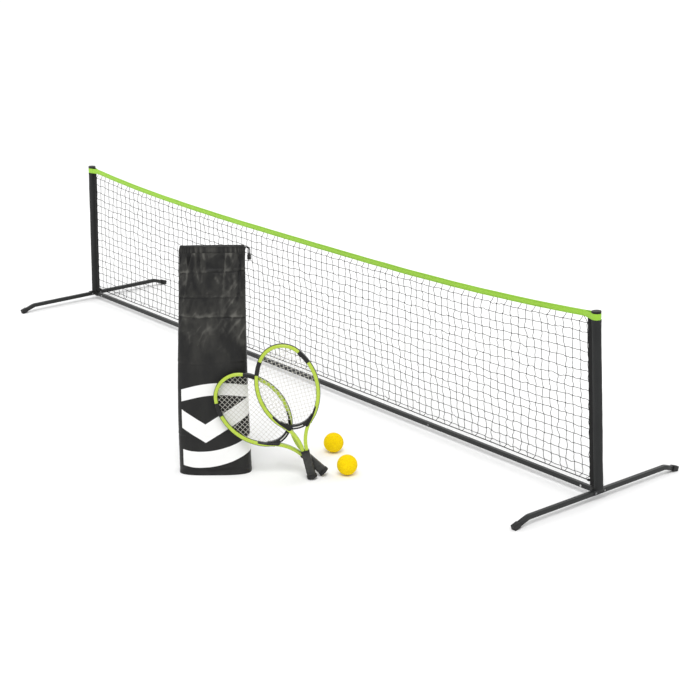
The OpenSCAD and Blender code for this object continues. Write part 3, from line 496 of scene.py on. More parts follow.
def rounded_section(w, h, r, corner=6):
    """Rounded rectangle, w along the normal and h along the binormal."""
    points = []
    for q, (sx, sy) in enumerate(((1, 1), (-1, 1), (-1, -1), (1, -1))):
        for i in range(corner + 1):
            a = pi / 2 * (q + i / corner)
            points.append((sx * (w / 2 - r) + r * cos(a), sy * (h / 2 - r) + r * sin(a)))
    return points


def tube(mesh, points, r, sides=5, up=(0, 0, 1)):
    mesh.add(*sweep(points, np.tile(up, (len(points), 1)), circle_section(r, sides)))


def smooth_line(points, each):
    """Catmull-Rom curve through points, with a number of steps between each pair."""
    p = [np.asarray(q, float) for q in points]
    p = [2 * p[0] - p[1], *p, 2 * p[-1] - p[-2]]
    out = []
    for k in range(1, len(p) - 2):
        a, b, c, d = p[k - 1:k + 3]
        for i in range(each):
            t = i / each
            out.append(0.5 * (2 * b + (c - a) * t + (2 * a - 5 * b + 4 * c - d) * t ** 2
                              + (3 * b - a - 3 * c + d) * t ** 3))
    out.append(p[-2])
    return np.array(out)


def unit_ball(subdivisions):
    """Vertices and faces of an even ball of radius 1."""
    bm = bmesh.new()
    bmesh.ops.create_icosphere(bm, subdivisions=subdivisions, radius=1)
    verts = [v.co.copy() for v in bm.verts]
    faces = [tuple(v.index for v in f.verts) for f in bm.faces]
    bm.free()
    return verts, faces


WELD, BEVEL_FROM = 0.00002, radians(40)


def own_copy(prefix, node, mat, body):
    """A copy of a CAD node in a better material, which stands for the node."""
    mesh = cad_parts[node].data.copy()
    mesh.materials.clear()
    mesh.materials.append(MATS[mat])
    obj = put(prefix + node, mesh)
    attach(obj, body)
    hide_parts(node)
    return obj


def cut_off(mesh, place, outward):
    """Takes off what lies past a plane, and closes the cut."""
    bm = bmesh.new()
    bm.from_mesh(mesh)
    bmesh.ops.remove_doubles(bm, verts=bm.verts, dist=WELD)
    made = bmesh.ops.bisect_plane(bm, geom=bm.verts[:] + bm.edges[:] + bm.faces[:], plane_co=place,
                                  plane_no=outward, clear_outer=True)
    bmesh.ops.holes_fill(bm, edges=[e for e in made["geom_cut"] if isinstance(e, bmesh.types.BMEdge)])
    bm.to_mesh(mesh)
    bm.free()


def bevelled(node, width, mat, body, segments=2, cut=None):
    """A copy of a CAD node with its sharp edges rounded, cut off at a plane where one is given."""
    obj = own_copy("rounded_", node, mat, body)
    if cut:
        cut_off(obj.data, *cut)
    weld = obj.modifiers.new("weld", "WELD")
    weld.merge_threshold = WELD
    bevel = obj.modifiers.new("bevel", "BEVEL")
    bevel.width = width
    bevel.segments = segments
    bevel.limit_method = "ANGLE"
    bevel.angle_limit = BEVEL_FROM
    bevel.harden_normals = True
    obj.data.polygons.foreach_set("use_smooth", [True] * len(obj.data.polygons))


def coil_spring(node, mat, body):
    """A copy of a coil spring's node, with a mesh of its own."""
    obj = own_copy("pressed_", node, mat, body)
    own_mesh(obj)


def dress(node, mat):
    """Gives a CAD node that is shown its material."""
    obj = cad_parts[node]
    obj.data.materials.clear()
    obj.data.materials.append(MATS[mat])


# ---- drawcord
def cord_knot():
    """The knot of both strands, past the lock."""
    knot = Mesh()
    centre = DISPLAY @ (EYELET + Vector((11, -17.6 - 3.7, -30)) * MM)
    loops, steps, loop = 2.2, 59, []
    for i in range(steps + 1):
        a = 2 * pi * loops * i / steps
        ring = 0.0031 + 0.0005 * sin(3 * a)
        loop.append(centre + Vector((ring * cos(a), 0.0017 * sin(a * 1.5 + 0.6), ring * sin(a))))
    tube(knot, loop, CORD_D / 2 * 0.9, 8, (0.2, 1, 0.1))
    return knot.done("drawcord_tie", "cord", "bag", stands_for="drawcord_knot")


def cord_strand(name, route):
    """One strand, from the bag's hem through the lock to the knot."""
    points = smooth_line([np.array(EYELET) + np.array(p) * MM for p in route], 4)
    world = [DISPLAY @ Vector(p) for p in points]
    length = sum((b - a).length for a, b in zip(world, world[1:]))
    curve = bpy.data.curves.new("drawcord_" + name, "CURVE")
    curve.dimensions, curve.use_fill_caps = "3D", True
    curve.bevel_depth, curve.bevel_resolution = CORD_D / 2, 4
    spline = curve.splines.new("POLY")
    spline.points.add(len(world) - 1)
    for point, p in zip(spline.points, world):
        point.co = (*p, 1)
    curve.materials.append(MATS["cord"])
    obj = put("cord_" + name, curve)
    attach(obj, "bag")
    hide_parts("drawcord_" + name)
    tuple(world[0])


def make_drawcord():
    tied = cord_knot()
    cord_strand("front", FRONT_STRAND)
    cord_strand("rear", REAR_STRAND)


make_drawcord()


# ---- stand
def post_x(z):
    return POST_X - (z - BAR_TOP) * tan(LEAN)


def edge_x(z):
    return post_x(z) - STRIP_END / cos(LEAN)


def drop(x):
    return NET_SAG * (1 - min(1.0, abs(x) / TAPE_REACH) ** 3)


def bar_line():
    """Middle of a base bar from foot to foot: along, height, and how far it has turned down."""
    cut = BEND_R * tan(LEG_SLOPE / 2)
    cap_out = BAR_W / 2 + CAP_WALL
    leg = (BASE_MID + CAP_FOOT - cap_out * cos(LEG_SLOPE)) / sin(LEG_SLOPE) - CAP_WALL
    half = [(0.0, BASE_MID, 0.0)]
    bends = 16
    for i in range(bends + 1):
        a = LEG_SLOPE * i / bends
        half.append((BEND_AT - cut + BEND_R * sin(a), BASE_MID - BEND_R + BEND_R * cos(a), a))
    half.append((BEND_AT + leg * cos(LEG_SLOPE), BASE_MID - leg * sin(LEG_SLOPE), LEG_SLOPE))
    return [(-y, z, -a) for y, z, a in reversed(half[1:])] + half


def make_stand():
    """Base bars, bent with smooth bends; caps and brackets, rounded; the rest gets its material."""
    for side, name in ((-1, "left"), (1, "right")):
        line = [(side * POST_X, y, z) for y, z, a in bar_line()]
        normals = [(0, sin(a), cos(a)) for y, z, a in bar_line()]
        verts, faces = sweep(line, normals, rounded_section(BAR_W, BAR_W, 0.002, 5))
        piece(name + "_bent_bar", verts, faces, "coat", "stand", "powder_coat", name + "_base_bar")
        bevelled(name + "_end_caps", 0.0011, "cap", "stand", 3)
        bevelled(name + "_bracket", 0.0004, "bracket", "stand")
        dress(name + "_post", "coat")
        dress(name + "_post_cap", "cap")
    shown = {"bracket_rivets": "rivet", "connector_rivets": "rivet", "button_spring_legs": "spring"}
    rows = (("crossbar", "coat", 4), ("connector", "connector", 3), ("snap_button", "spring", 5))
    for node, mat, count in rows:
        shown.update({f"{node}_{i + 1}": mat for i in range(count)})
    for node, mat in shown.items():
        dress(node, mat)


make_stand()


# ---- sleeves
def stitches(mesh, line, normals, pitch=0.0042, length=0.0028, r=0.00035):
    """Short raised threads along a line of points, each bulging a little at its middle."""
    line = np.asarray(line, float)
    normals = np.asarray(normals, float)
    steps = np.linalg.norm(np.diff(line, axis=0), axis=1)
    along = np.concatenate([[0], np.cumsum(steps)])
    for start in np.arange(pitch / 2, along[-1] - length, pitch):
        ends = [start, start + length / 2, start + length]
        points = np.stack([np.interp(ends, along, line[:, k]) for k in range(3)], axis=1)
        out = np.stack([np.interp(ends, along, normals[:, k]) for k in range(3)], axis=1)
        points += out * np.array([[-0.4 * r], [0.6 * r], [-0.4 * r]])
        mesh.add(*sweep(points, out, circle_section(r, 5)))


SLEEVE_HEM = 0.012


def sleeve_ring(side, z, hem):
    """One level of a sleeve: round the post in soft folds, then the strip towards the net."""
    centre = post_x(z)
    open_angle = asin(0.0014 / SLEEVE_R)
    points = []
    for i in range(57):
        a = open_angle + (2 * pi - 2 * open_angle) * i / 56
        wave = wobble(cos(a) * 1.6, sin(a) * 1.6, z * 11 + side * 5)
        fold = wobble(a * 1.3, z * 34, side * 9.0)
        r = SLEEVE_R + (-0.0007 + 0.0009 * wave + 0.0004 * fold + hem)
        points.append((-r * cos(a), r * sin(a)))
    strip = [-(SLEEVE_R + (STRIP_END - SLEEVE_R) * d) for d in (0.2, 0.5, 0.8, 0.96)]
    points += [(x, -0.0013) for x in strip] + [(-STRIP_END, -0.0006), (-STRIP_END, 0.0006)]
    points += [(x, 0.0013) for x in reversed(strip)]
    return [(side * (centre + x), y, z) for x, y in points]


def sleeve_cloth(side, name):
    """A sleeve in soft folds, with the flat strip in its own cloth."""
    levels, verts = 110, []
    for k in range(levels + 1):
        z = SLEEVE_FOOT + (TAPE_LOW - 0.0002 - SLEEVE_FOOT) * k / levels
        hem = 0.0004 if z < SLEEVE_FOOT + SLEEVE_HEM or z > TAPE_LOW - SLEEVE_HEM / 2 else 0.0
        verts += sleeve_ring(side, z, hem)
    n = len(verts) // (levels + 1)
    faces = [f if side > 0 else f[::-1] for f in grid_faces(levels + 1, n)]
    faces += [tuple(range(n)), tuple(range(levels * n, (levels + 1) * n))]
    cloth = piece(name + "_sleeve_cloth", verts, faces, "sleeve", "stand", "sleeve_fabric", name + "_sleeve")
    cloth.data.materials.append(MATS["strip"])
    for poly in cloth.data.polygons:
        inward = post_x(poly.center.z) - abs(poly.center.x)
        if inward > SLEEVE_R + 0.0008 and abs(poly.center.y) < 0.0015:
            poly.material_index = 1


def sleeve_stitching(side, name):
    """Two seams on each face of the strip, and one round the hem."""
    seams = Mesh()
    zs = np.linspace(SLEEVE_FOOT + 0.004, TAPE_LOW - 0.004, 60)
    for d in (0.0040, 0.0165):
        for y in (-1, 1):
            line = [(side * (post_x(z) - SLEEVE_R - d), y * 0.0014, z) for z in zs]
            stitches(seams, line, np.tile((0, y, 0), (len(zs), 1)))
    hem_z = SLEEVE_FOOT + SLEEVE_HEM
    angles = np.linspace(radians(12), radians(348), 80)
    line = [(side * (post_x(hem_z) - SLEEVE_R * cos(a)), SLEEVE_R * sin(a), hem_z) for a in angles]
    stitches(seams, line, [(-side * cos(a), sin(a), 0) for a in angles])
    seams.done(name + "_sleeve_stitching", "stitch_dark", "stand", "sleeve_fabric")


for side, name in ((-1, "left"), (1, "right")):
    sleeve_cloth(side, name)
    sleeve_stitching(side, name)


# ---- net
NET_COLUMNS, NET_ROWS = 88, 16
NET_FOOT, NET_TOP = 0.064, TAPE_LOW - 0.019
THREAD_R, KNOT = 0.00102, np.array([0.0023, 0.0018, 0.0020])
ACROSS_SLACK, UP_SLACK = 0.0011, 0.0030
ROPE_REACH, STRAND_AT, STRAND_R = 1.468, 0.00085, 0.00095


def net_point(i, j):
    """Place of a knot: an even grid, then the drift and jitter of a slack net."""
    t = j / NET_ROWS
    half = edge_x(NET_FOOT) * (1 - t) + edge_x(NET_TOP) * t - 0.001
    s = 2 * i / NET_COLUMNS - 1
    x = s * half
    z = NET_FOOT + (NET_TOP - drop(x) - NET_FOOT) * t
    hold = min(1.0, i / 3, (NET_COLUMNS - i) / 3)
    drift = Vector((wobble(x * 2.3, z * 5, 1.7), wobble(x * 2.9, z * 7, 8.1)))
    fine = Vector((wobble(x * 40, z * 40, 3.3), wobble(x * 40, z * 40, 6.6)))
    x += hold * (0.014 * drift.x + 0.0100 * fine.x)
    z += hold * (0.007 * drift.y + 0.0055 * fine.y) * min(1.0, 2.5 * t, 2.5 * (1 - t) + 0.3)
    y = 0.0025 * wobble(x * 3, z * 4, 12.2)
    return Vector((x, y, z))


def thread_between(a, b, slack, steps):
    """Points from a towards b, without b, with a kink of the slack twine."""
    span = b - a
    side = Vector((-span.z, 0, span.x)).normalized()
    bow = slack * rng.normal()
    ess = slack * 0.7 * rng.normal()
    out = []
    for k in range(steps):
        t = k / steps
        shift = bow * sin(pi * t) + ess * sin(2 * pi * t)
        out.append(a + span * t + side * shift + Vector((0, 0.4 * shift, 0)))
    return out


def tie(net, knot, slant, reach, height, bulge):
    """Twine from a knot of the outer row to the tape or the rope."""
    x = max(-reach, min(reach, knot.x + slant))
    end = Vector((x, 0.0, height(x)))
    tube(net, [knot, knot.lerp(end, 0.5) + Vector(bulge), end], THREAD_R, 5, (0.1, 1, 0))


def make_net():
    knots = [[net_point(i, j) for i in range(NET_COLUMNS + 1)] for j in range(NET_ROWS + 1)]
    net = Mesh()
    for j in range(NET_ROWS + 1):
        line = []
        for i in range(NET_COLUMNS):
            line += thread_between(knots[j][i], knots[j][i + 1], ACROSS_SLACK, 3)
        line.append(knots[j][-1])
        tube(net, line, THREAD_R, 5, (0.1, 1, 0.2))
    for i in range(NET_COLUMNS + 1):
        line = []
        for j in range(NET_ROWS):
            line += thread_between(knots[j][i], knots[j + 1][i], UP_SLACK, 4)
        line.append(knots[-1][i])
        tube(net, line, THREAD_R, 5, (0.1, 1, 0.2))
    shape, faces = unit_ball(1)
    for row in knots:
        for p in row:
            size = KNOT * (1 + 0.12 * rng.normal())
            net.add(np.array(shape) * size + np.array(p), faces)
    for i in range(NET_COLUMNS + 1):
        odd = i % 2
        tie(net, knots[-1][i], 0.015 if odd else 0.004, TAPE_REACH - 0.004,
            lambda x: TAPE_LOW - drop(x) + 0.002, (0.001, 0.001, 0))
        tie(net, knots[0][i], -0.012 if odd else 0.003, ROPE_REACH, lambda x: ROPE_Z, (0, 0.001, 0))
    net.done("knotted_net", "net", "stand", "net_cord", "net_mesh")


make_net()


def make_rope(end):
    """Bottom rope of three laid strands, which dips a little between its ends."""
    rope = Mesh()
    laps = 210
    steps = laps * 8
    for k in range(3):
        line = []
        for i in range(steps + 1):
            t = i / steps
            a = 2 * pi * (laps * t + k / 3)
            line.append((end * (2 * t - 1), STRAND_AT * cos(a),
                         ROPE_Z + STRAND_AT * sin(a) - 0.0012 * sin(pi * 6 * t) ** 2))
        tube(rope, line, STRAND_R, 6, (0.1, 0.3, 1))
    rope.done("laid_rope", "net", "stand", "net_cord", "bottom_rope")


def make_lashings(end):
    """Five turns of twine round each end of the rope, and a tail up to the strip."""
    ties = Mesh()
    for side in (-1, 1):
        x0 = side * (end + 0.003)
        for w in range(5):
            x = x0 + side * (w - 1) * 0.0016
            line = [(x + side * 0.0005 * sin(a), 0.0033 * cos(a), ROPE_Z + 0.0035 * sin(a))
                    for a in np.linspace(0, 2 * pi, 25)]
            tube(ties, line, 0.0009, 6, (1, 0, 0))
        line = [(x0 + side * 0.002, 0.002, ROPE_Z), (x0 + side * 0.006, 0.0024, ROPE_Z + 0.003),
                (x0 + side * 0.009, 0.0016, ROPE_Z + 0.007)]
        tube(ties, smooth_line(line, 6), 0.0009, 6, (0, 1, 0))
    ties.done("corner_lashing", "net", "stand", "net_cord", "corner_ties")


rope_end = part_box("bottom_rope")[1][0] - 0.0065
make_rope(rope_end)
make_lashings(rope_end)


def tape_line():
    """Plan of the tape: along the front, round the right post, back, and round the left post."""
    free = pi - acos(TAPE_LOOP_R / TAPE_NOSE)
    points = []
    for side in (1, -1):
        xs = np.linspace(-TAPE_REACH, TAPE_REACH, 181) * side
        points += [(x, -0.00085 * side, (0, -side)) for x in xs]
        centre = side * post_x(TAPE_MID)
        for k in range(49):
            a = -free + 2 * free * k / 48
            points.append((centre + side * TAPE_LOOP_R * cos(a), side * TAPE_LOOP_R * sin(a),
                           (side * cos(a), side * sin(a))))
    return points


def make_tape():
    line, out = [], []
    for x, y, n in tape_line():
        sway = 0.0007 * wobble(x * 6, 2.2, 0)
        z = TAPE_MID - drop(x) + 0.0006 * wobble(x * 9, 0.3, 4)
        line.append((x, y + sway, z))
        out.append((*n, 0))
    edge, fold = 0.0092, TAPE_HALF
    section = [(0.00045, -edge), (0.0006, 0.0), (0.00045, edge), (0.0002, fold), (-0.0002, fold),
               (-0.00045, edge), (-0.0005, 0.0), (-0.00045, -edge), (-0.0002, -fold), (0.0002, -fold)]
    verts, faces = sweep(line, out, section, closed=True)
    piece("tape_band", verts, faces, "tape", "stand", "tape_webbing", "top_tape")
    sewn = Mesh()
    xs = np.linspace(-TAPE_REACH + 0.004, TAPE_REACH - 0.004, 260)
    for side in (-1, 1):
        for z in (-0.0068, 0.0068):
            path = [(x, side * 0.0015, TAPE_MID - drop(x) + z) for x in xs]
            stitches(sewn, path, np.tile((0, side, 0), (len(xs), 1)), 0.006, 0.0042)
    sewn.done("tape_stitching", "stitch_lime", "stand", "tape_webbing")


make_tape()


# ---- bag
def power(value, e):
    return copysign(abs(value) ** e, value)


def bag_outline(k, a, shrink=0.0):
    """A point of the bag's plain form: k up from the floor, angle a round from its right side."""
    if cos(a) > 0:
        give = -0.005 * sin(pi * k) - 0.002 * (1 - k) ** 3
    else:
        give = 0.0075 * sin(pi * k ** 0.75) ** 1.5 + 0.006 * (1 - k) ** 2
    half = (BAG_FOOT_W + (BAG_MOUTH_W - BAG_FOOT_W) * k) / 2 + give - shrink
    front = BAG_H * k * sin(FACE_LEAN)
    back = ((BAG_FOOT_T - BAG_FLARE) * (1 - k) + (BAG_MOUTH_T + BAG_H * sin(FACE_LEAN)) * k
            + BAG_FLARE * (1 - k) ** 4)
    middle, depth = (front + back) / 2, (back - front) / 2 - shrink
    return Vector((BAG_SLUMP * k + half * power(cos(a), BAG_SQUARE),
                   middle + depth * power(sin(a), BAG_SQUARE), BAG_H * k * cos(FACE_LEAN)))


CREASES = [(0.668, 0.10, 0.0040), (0.588, 0.05, 0.0030), (0.522, -0.12, 0.0034), (0.372, 0.06, 0.0030),
           (0.245, 0.12, 0.0012), (0.128, 0.04, 0.0022), (0.016, 0.0, 0.0026)]


def make_folds(count, seed):
    """Folds that fall from the gathered mouth: place, slant, foot, top, width and depth; ridges rise."""
    dice = random.Random(seed)
    folds = []
    for k in range(count):
        place = -0.5 + (k + dice.random()) / count
        folds.append((place * 0.22, dice.uniform(-0.16, 0.16), dice.uniform(0.55, 0.70), 0.76,
                      dice.uniform(0.003, 0.007), dice.uniform(0.0012, 0.0036)))
        folds.append((place * 0.21 + 0.004, dice.uniform(-0.22, 0.22), dice.uniform(0.56, 0.69), 0.75,
                      dice.uniform(0.0022, 0.0055), -dice.uniform(0.0014, 0.0036)))
    for _ in range(count):
        foot = dice.uniform(0.42, 0.62)
        rise = dice.choice((1, -1)) * dice.uniform(0.0012, 0.0028)
        folds.append((dice.uniform(-0.1, 0.1), dice.uniform(-1.4, 1.4), foot, foot + dice.uniform(0.03, 0.09),
                      dice.uniform(0.0025, 0.0060), rise * 1.2))
    return folds


FRONT, BACK = 0.0, 20.0
FOLDS = {FRONT: make_folds(14, 5), BACK: make_folds(13, 8)}
CLOTH_REST, CLOTH_LIMIT, CLOTH_DEEP = 0.0030, 0.0095, 0.0060


def ridged(x, v, w):
    """Sharp-edged crumple, 0 to 1."""
    first = 1 - abs(wobble(x, v, w)) * 2
    second = 1 - abs(wobble(x * 2.3, v * 2.1, w + 7)) * 2
    return max(0.0, first) ** 2 * 0.65 + max(0.0, second) ** 2 * 0.35


def cloth_dent(x, v, face):
    """How far the cloth falls inside its plain form, from folds, creases and crumples."""
    dent = CLOTH_REST
    for place, slant, foot, top, width, depth in FOLDS[face]:
        if foot < v < top:
            fade = min(1.0, (v - foot) / 0.04, (top - v) / 0.012)
            gap = x - place - slant * (v - foot) - 0.006 * wobble(place * 90, v * 14, face)
            if abs(gap) < 4 * width:
                dent += depth * fade * exp(-abs(gap / width) ** 1.3)
    calm = 0.30 + 0.70 * min(1.0, max(0.0, (v - 0.40) / 0.08))
    dent += 0.0036 * calm * (ridged(x * 13 + v * 5, v * 7, face + 4) - 0.35)
    dent -= 0.0034 * calm * (ridged(x * 24 - v * 9, v * 15, face + 9) - 0.40)
    for at, slope, depth in CREASES:
        gap = v - at - slope * x * 0.3 - 0.008 * wobble(x * 11, at * 40, face)
        if abs(gap) < 0.03:
            strength = max(0.0, 0.75 + 0.9 * wobble(x * 12, at * 9, 3 + face))
            valley = exp(-abs(gap) / 0.0020) - 0.7 * exp(-((gap - 0.006) / 0.004) ** 2)
            dent += depth * strength * valley
    return min(max(dent, 0.0), CLOTH_LIMIT)


def bag_rings(levels, around):
    """Rings of points with the cloth's dents: points, the (u, v) of each, its height and its side."""
    points, uvs, heights, front = [], [], [], []
    hem_k = levels[-1]
    for k in levels:
        ring = [bag_outline(k, a) for a in turns(around)]
        centre = Vector((BAG_SLUMP * k, sum(p.y for p in ring) / around, ring[0].z))
        for i, p in enumerate(ring):
            before, after = ring[i - 1], ring[(i + 1) % around]
            out = Vector((after.y - before.y, before.x - after.x, 0)).normalized()
            v = k * BAG_H
            dent = cloth_dent(p.x, v, BACK if p.y > centre.y else FRONT)
            edge = min(1.0, k * 60 + 0.2, max(0.0, hem_k - k) * 40 + 0.12)
            edge *= 0.3 + 0.7 * abs(out.y) ** 0.7
            points.append(p - out * (0.0002 + dent * edge))
            uvs.append((p.x, v))
            # the cloth's height, which sets its painted shade in the grooves and painted sheen on the ridges
            heights.append(1 - min(1.0, dent / CLOTH_DEEP))
            front.append(1.0 if p.y <= centre.y else 0.0)
    return points, uvs, heights, front


def make_bag_body(hem_k, around):
    rows = 230
    points, uvs, heights, front = bag_rings([hem_k * (j / rows) for j in range(rows + 1)], around)
    faces = grid_faces(rows + 1, around)
    base = len(points)
    foot = [bag_outline(0, a, 0.02) for a in turns(around)]
    points += [p + Vector((0, 0, 0.0015)) for p in foot]
    uvs += [(p.x, 0.4) for p in foot]
    marks = {"height": heights + [0.5] * around, "front": front + [0.0] * around}
    faces += [(i, base + i, base + (i + 1) % around, (i + 1) % around) for i in range(around)]
    faces.append(tuple(base + i for i in reversed(range(around))))
    piece("bag_cloth", points, faces, "bag", "bag", "bag_nylon", "bag_body", uvs=uvs, matrix=DISPLAY,
          marks=marks)


def hem_ring(k, up, around, outlets):
    """Level k of the gathered hem, up of the way to its rim, and a height mark for each point, low in the
    pleats and towards the rim, which sets the hem's painted shade and sheen.
    """
    roll = sin(pi * up) ** 0.5
    for a in turns(around):
        p = bag_outline(k, a)
        pleat = (0.5 + 0.5 * sin(a * 41 + 5.5 * wobble(p.x * 26, p.y * 26, 0))) ** 1.5
        pull = 0.0006 + 0.0010 * (1 - roll) + 0.0030 * pleat * (0.35 + 0.65 * roll)
        corner = max(0.0, abs(p.x - BAG_SLUMP) - BAG_MOUTH_W / 2 + HEM_CORNER) / HEM_CORNER
        wave = 0.0014 * (pleat + 0.5 + wobble(p.x * 60, p.y * 20, 5))
        wave += 0.0022 * (0.5 + wobble(p.x * 17, 0.3, 2))
        sink = (wave + 0.010 * (1 - sqrt(max(0.0, 1 - min(1.0, corner) ** 2)))) * up ** 2
        free = 1 - max(exp(-((p - outlet).length / 0.008) ** 2) for outlet in outlets)
        pull = pull * free - 0.0015 * (1 - free)
        # the height mark paints shade in the pleats and near the rim, and sheen on the pleat crests
        yield (Vector((p.x - power(cos(a), 0.6) * pull, p.y - power(sin(a), 0.6) * pull, p.z - sink * free)),
               (0.72 - 0.66 * pleat) * (1 - 0.7 * up ** 6))


def make_hem(hem_k, around):
    """Gathered hem, held out where the drawcord leaves it, and the cloth drawn in at the mouth."""
    outlets = [EYELET + Vector(route[0]) * MM for route in (FRONT_STRAND, REAR_STRAND)]
    rim, steps = [], 16
    for j in range(steps + 1):
        rim += hem_ring(hem_k + (1 - hem_k) * j / steps, j / steps, around, outlets)
    mouth_y = BAG_H * sin(FACE_LEAN) + BAG_MOUTH_T / 2
    drawn_in = ((0.18, -0.001), (0.45, -0.005), (0.75, -0.009), (0.93, -0.011))
    for shrink, sink in drawn_in:
        for a in turns(around):
            p = bag_outline(1, a)
            x = p.x + (BAG_SLUMP + 0.02 * cos(a) - p.x) * shrink * 0.25
            y = p.y + (mouth_y - p.y) * shrink + 0.0012 * sin(a * 23) * shrink
            # a low height mark: painted shade over the drawn-in mouth
            rim.append((Vector((x, y, p.z + sink)), 0.2))
    rows = steps + 1 + len(drawn_in)
    faces = grid_faces(rows, around)
    faces.append(tuple((rows - 1) * around + i for i in range(around)))
    piece("bag_gathered_hem", [p for p, _ in rim], faces, "hem", "bag", "bag_nylon", "bag_hem",
          matrix=DISPLAY, marks={"height": [height for _, height in rim]})


def make_hem_stitching(k, around):
    seam = Mesh()
    angles = [*turns(around), 2 * pi]
    out = np.array([(cos(a), sin(a), 0) for a in angles])
    line = np.array([bag_outline(k, a) for a in angles]) - 0.0009 * out
    stitches(seam, line, out, 0.005, 0.0034, 0.0004)
    seam.done("hem_stitching", "stitch_dark", "bag", "bag_nylon", matrix=DISPLAY)


def make_bag():
    hem_k, around = 1 - HEM_H / BAG_H, 260
    make_bag_body(hem_k, around)
    make_hem(hem_k, around)
    make_hem_stitching(hem_k + 0.004, around)
    dress("cord_lock_barrel", "lock")
    dress("cord_lock_plunger", "lock")
    coil_spring("cord_lock_spring", "spring", "bag")


make_bag()


# ---- rackets
OVAL_A, OVAL_B = (HEAD_L - TUBE_W) / 2, (HEAD_W - TUBE_W) / 2
OVAL_Y = RACKET_L - TUBE_W / 2 - OVAL_A
TIP_C = OVAL_A - TIP_R
SIDE_R = (TIP_C ** 2 + OVAL_B ** 2 - TIP_R ** 2) / (2 * (OVAL_B - TIP_R))
SIDE_C = SIDE_R - OVAL_B
SIDE_TURN = atan(TIP_C / SIDE_C)
THROAT_R = (TIP_R * cos(THROAT_TURN) - SHAFT_X) / (1 - cos(THROAT_TURN))
THROAT_X = SHAFT_X + THROAT_R
HEAD_FOOT = OVAL_Y - TIP_C
THROAT_Y = HEAD_FOOT - (TIP_R + THROAT_R) * sin(THROAT_TURN)
GRIP_TOP = THROAT_Y - THROAT_CLEAR


def bow(x, y, r, start, end, steps, out):
    for i in range(steps):
        a = start + (end - start) * i / steps
        yield (x + r * cos(a), y + r * sin(a), out * cos(a), out * sin(a))


def half_line(fine):
    """Half of the tube's centreline, from the tip to its end in the handle."""
    points = list(bow(0, OVAL_Y + TIP_C, TIP_R, pi / 2, SIDE_TURN, 8 * fine, 1))
    points += bow(-SIDE_C, OVAL_Y, SIDE_R, SIDE_TURN, -SIDE_TURN, 14 * fine, 1)
    points += bow(0, HEAD_FOOT, TIP_R, -SIDE_TURN, -THROAT_TURN, 2 * fine, 1)
    points += bow(THROAT_X, THROAT_Y, THROAT_R, pi - THROAT_TURN, pi, 9 * fine, -1)
    return points + [(SHAFT_X, THROAT_Y, 1, 0), (SHAFT_X, SHAFT_FOOT, 1, 0)]


def both_halves(half):
    return [(-x, y, -nx, ny) for x, y, nx, ny in reversed(half[1:])] + half


def along_path(path, section, offset=0.0):
    """A section carried along a flat path of places and outward normals."""
    line = [(x + nx * offset, y + ny * offset, 0) for x, y, nx, ny in path]
    return sweep(line, [(nx, ny, 0) for x, y, nx, ny in path], section)


def racket_matrix(plane, at, tilt):
    upright = cos(tilt) * cos(FACE_LEAN)
    butt = (BUTT_R - BUTT_ROUND) * sqrt(1 - upright ** 2) + BUTT_ROUND * (1 - upright)
    v = (butt + plane * sin(FACE_LEAN)) / cos(FACE_LEAN)
    return ON_FACE @ Matrix.Translation((at, plane, v)) @ rot("Y", -tilt) @ rot("X", pi / 2)


def oval_limit(along_x, other):
    """Where a string at a place meets the inner face of the frame."""
    if along_x:
        y = abs(other - OVAL_Y)
        if y <= SIDE_R * sin(SIDE_TURN):
            return sqrt(SIDE_R ** 2 - y ** 2) - SIDE_C - TUBE_W / 2
        return sqrt(max(0, (TIP_R - TUBE_W / 2) ** 2 - (y - TIP_C) ** 2))
    x = abs(other)
    r = TIP_R - TUBE_W / 2
    if x <= r * cos(SIDE_TURN):
        return TIP_C + sqrt(r ** 2 - x ** 2)
    r = SIDE_R - TUBE_W / 2
    return sqrt(max(0, r ** 2 - (x + SIDE_C) ** 2))


LIP_TOP, LIP_FOOT = radians(29), radians(33)
LIP_WALL, LIP_IN, WING_H = 0.0007, 0.0004, 0.030


def arm_line(steps):
    """Right arm past the bridge: x, y, the outward normal, and the share of the way."""
    upper, lower = TIP_R * (THROAT_TURN - LIP_TOP), THROAT_R * (THROAT_TURN - LIP_FOOT)
    for k in range(steps + 1):
        t = k / steps
        along = (upper + lower) * t
        if along < upper:
            turn = LIP_TOP + along / TIP_R
            if turn < SIDE_TURN:
                x, y = -SIDE_C + SIDE_R * cos(turn), OVAL_Y - SIDE_R * sin(turn)
            else:
                x, y = TIP_R * cos(turn), HEAD_FOOT - TIP_R * sin(turn)
        else:
            turn = THROAT_TURN - (along - upper) / THROAT_R
            x, y = THROAT_X - THROAT_R * cos(turn), THROAT_Y + THROAT_R * sin(turn)
        yield x, y, cos(turn), -sin(turn), t


def lip_section(t):
    """The lip's section t of the way down an arm: round the inner half of the tube, and back."""
    half, deep, bend = TUBE_W / 2, BEAM / 2, TUBE_R + LIP_WALL
    reach = 0.0044 + 0.0036 * min(1.0, t / 0.55) - 0.0034 * max(0.0, (t - 0.9) / 0.1)
    low = deep - TUBE_R * min(1.0, 0.4 + 3 * t)
    top = [(-half + reach, deep - LIP_IN), (-half + reach, deep + LIP_WALL)]
    for q in range(7):
        c = pi / 2 * q / 6
        top.append((-half + TUBE_R - bend * sin(c), deep - TUBE_R + bend * cos(c)))
    top.append((-half - LIP_WALL, low - 0.004))
    back = [(-half + LIP_IN, -low + 0.004), (-half + LIP_IN, low - 0.004)]
    return top + [(px, -pz) for px, pz in reversed(top)] + back


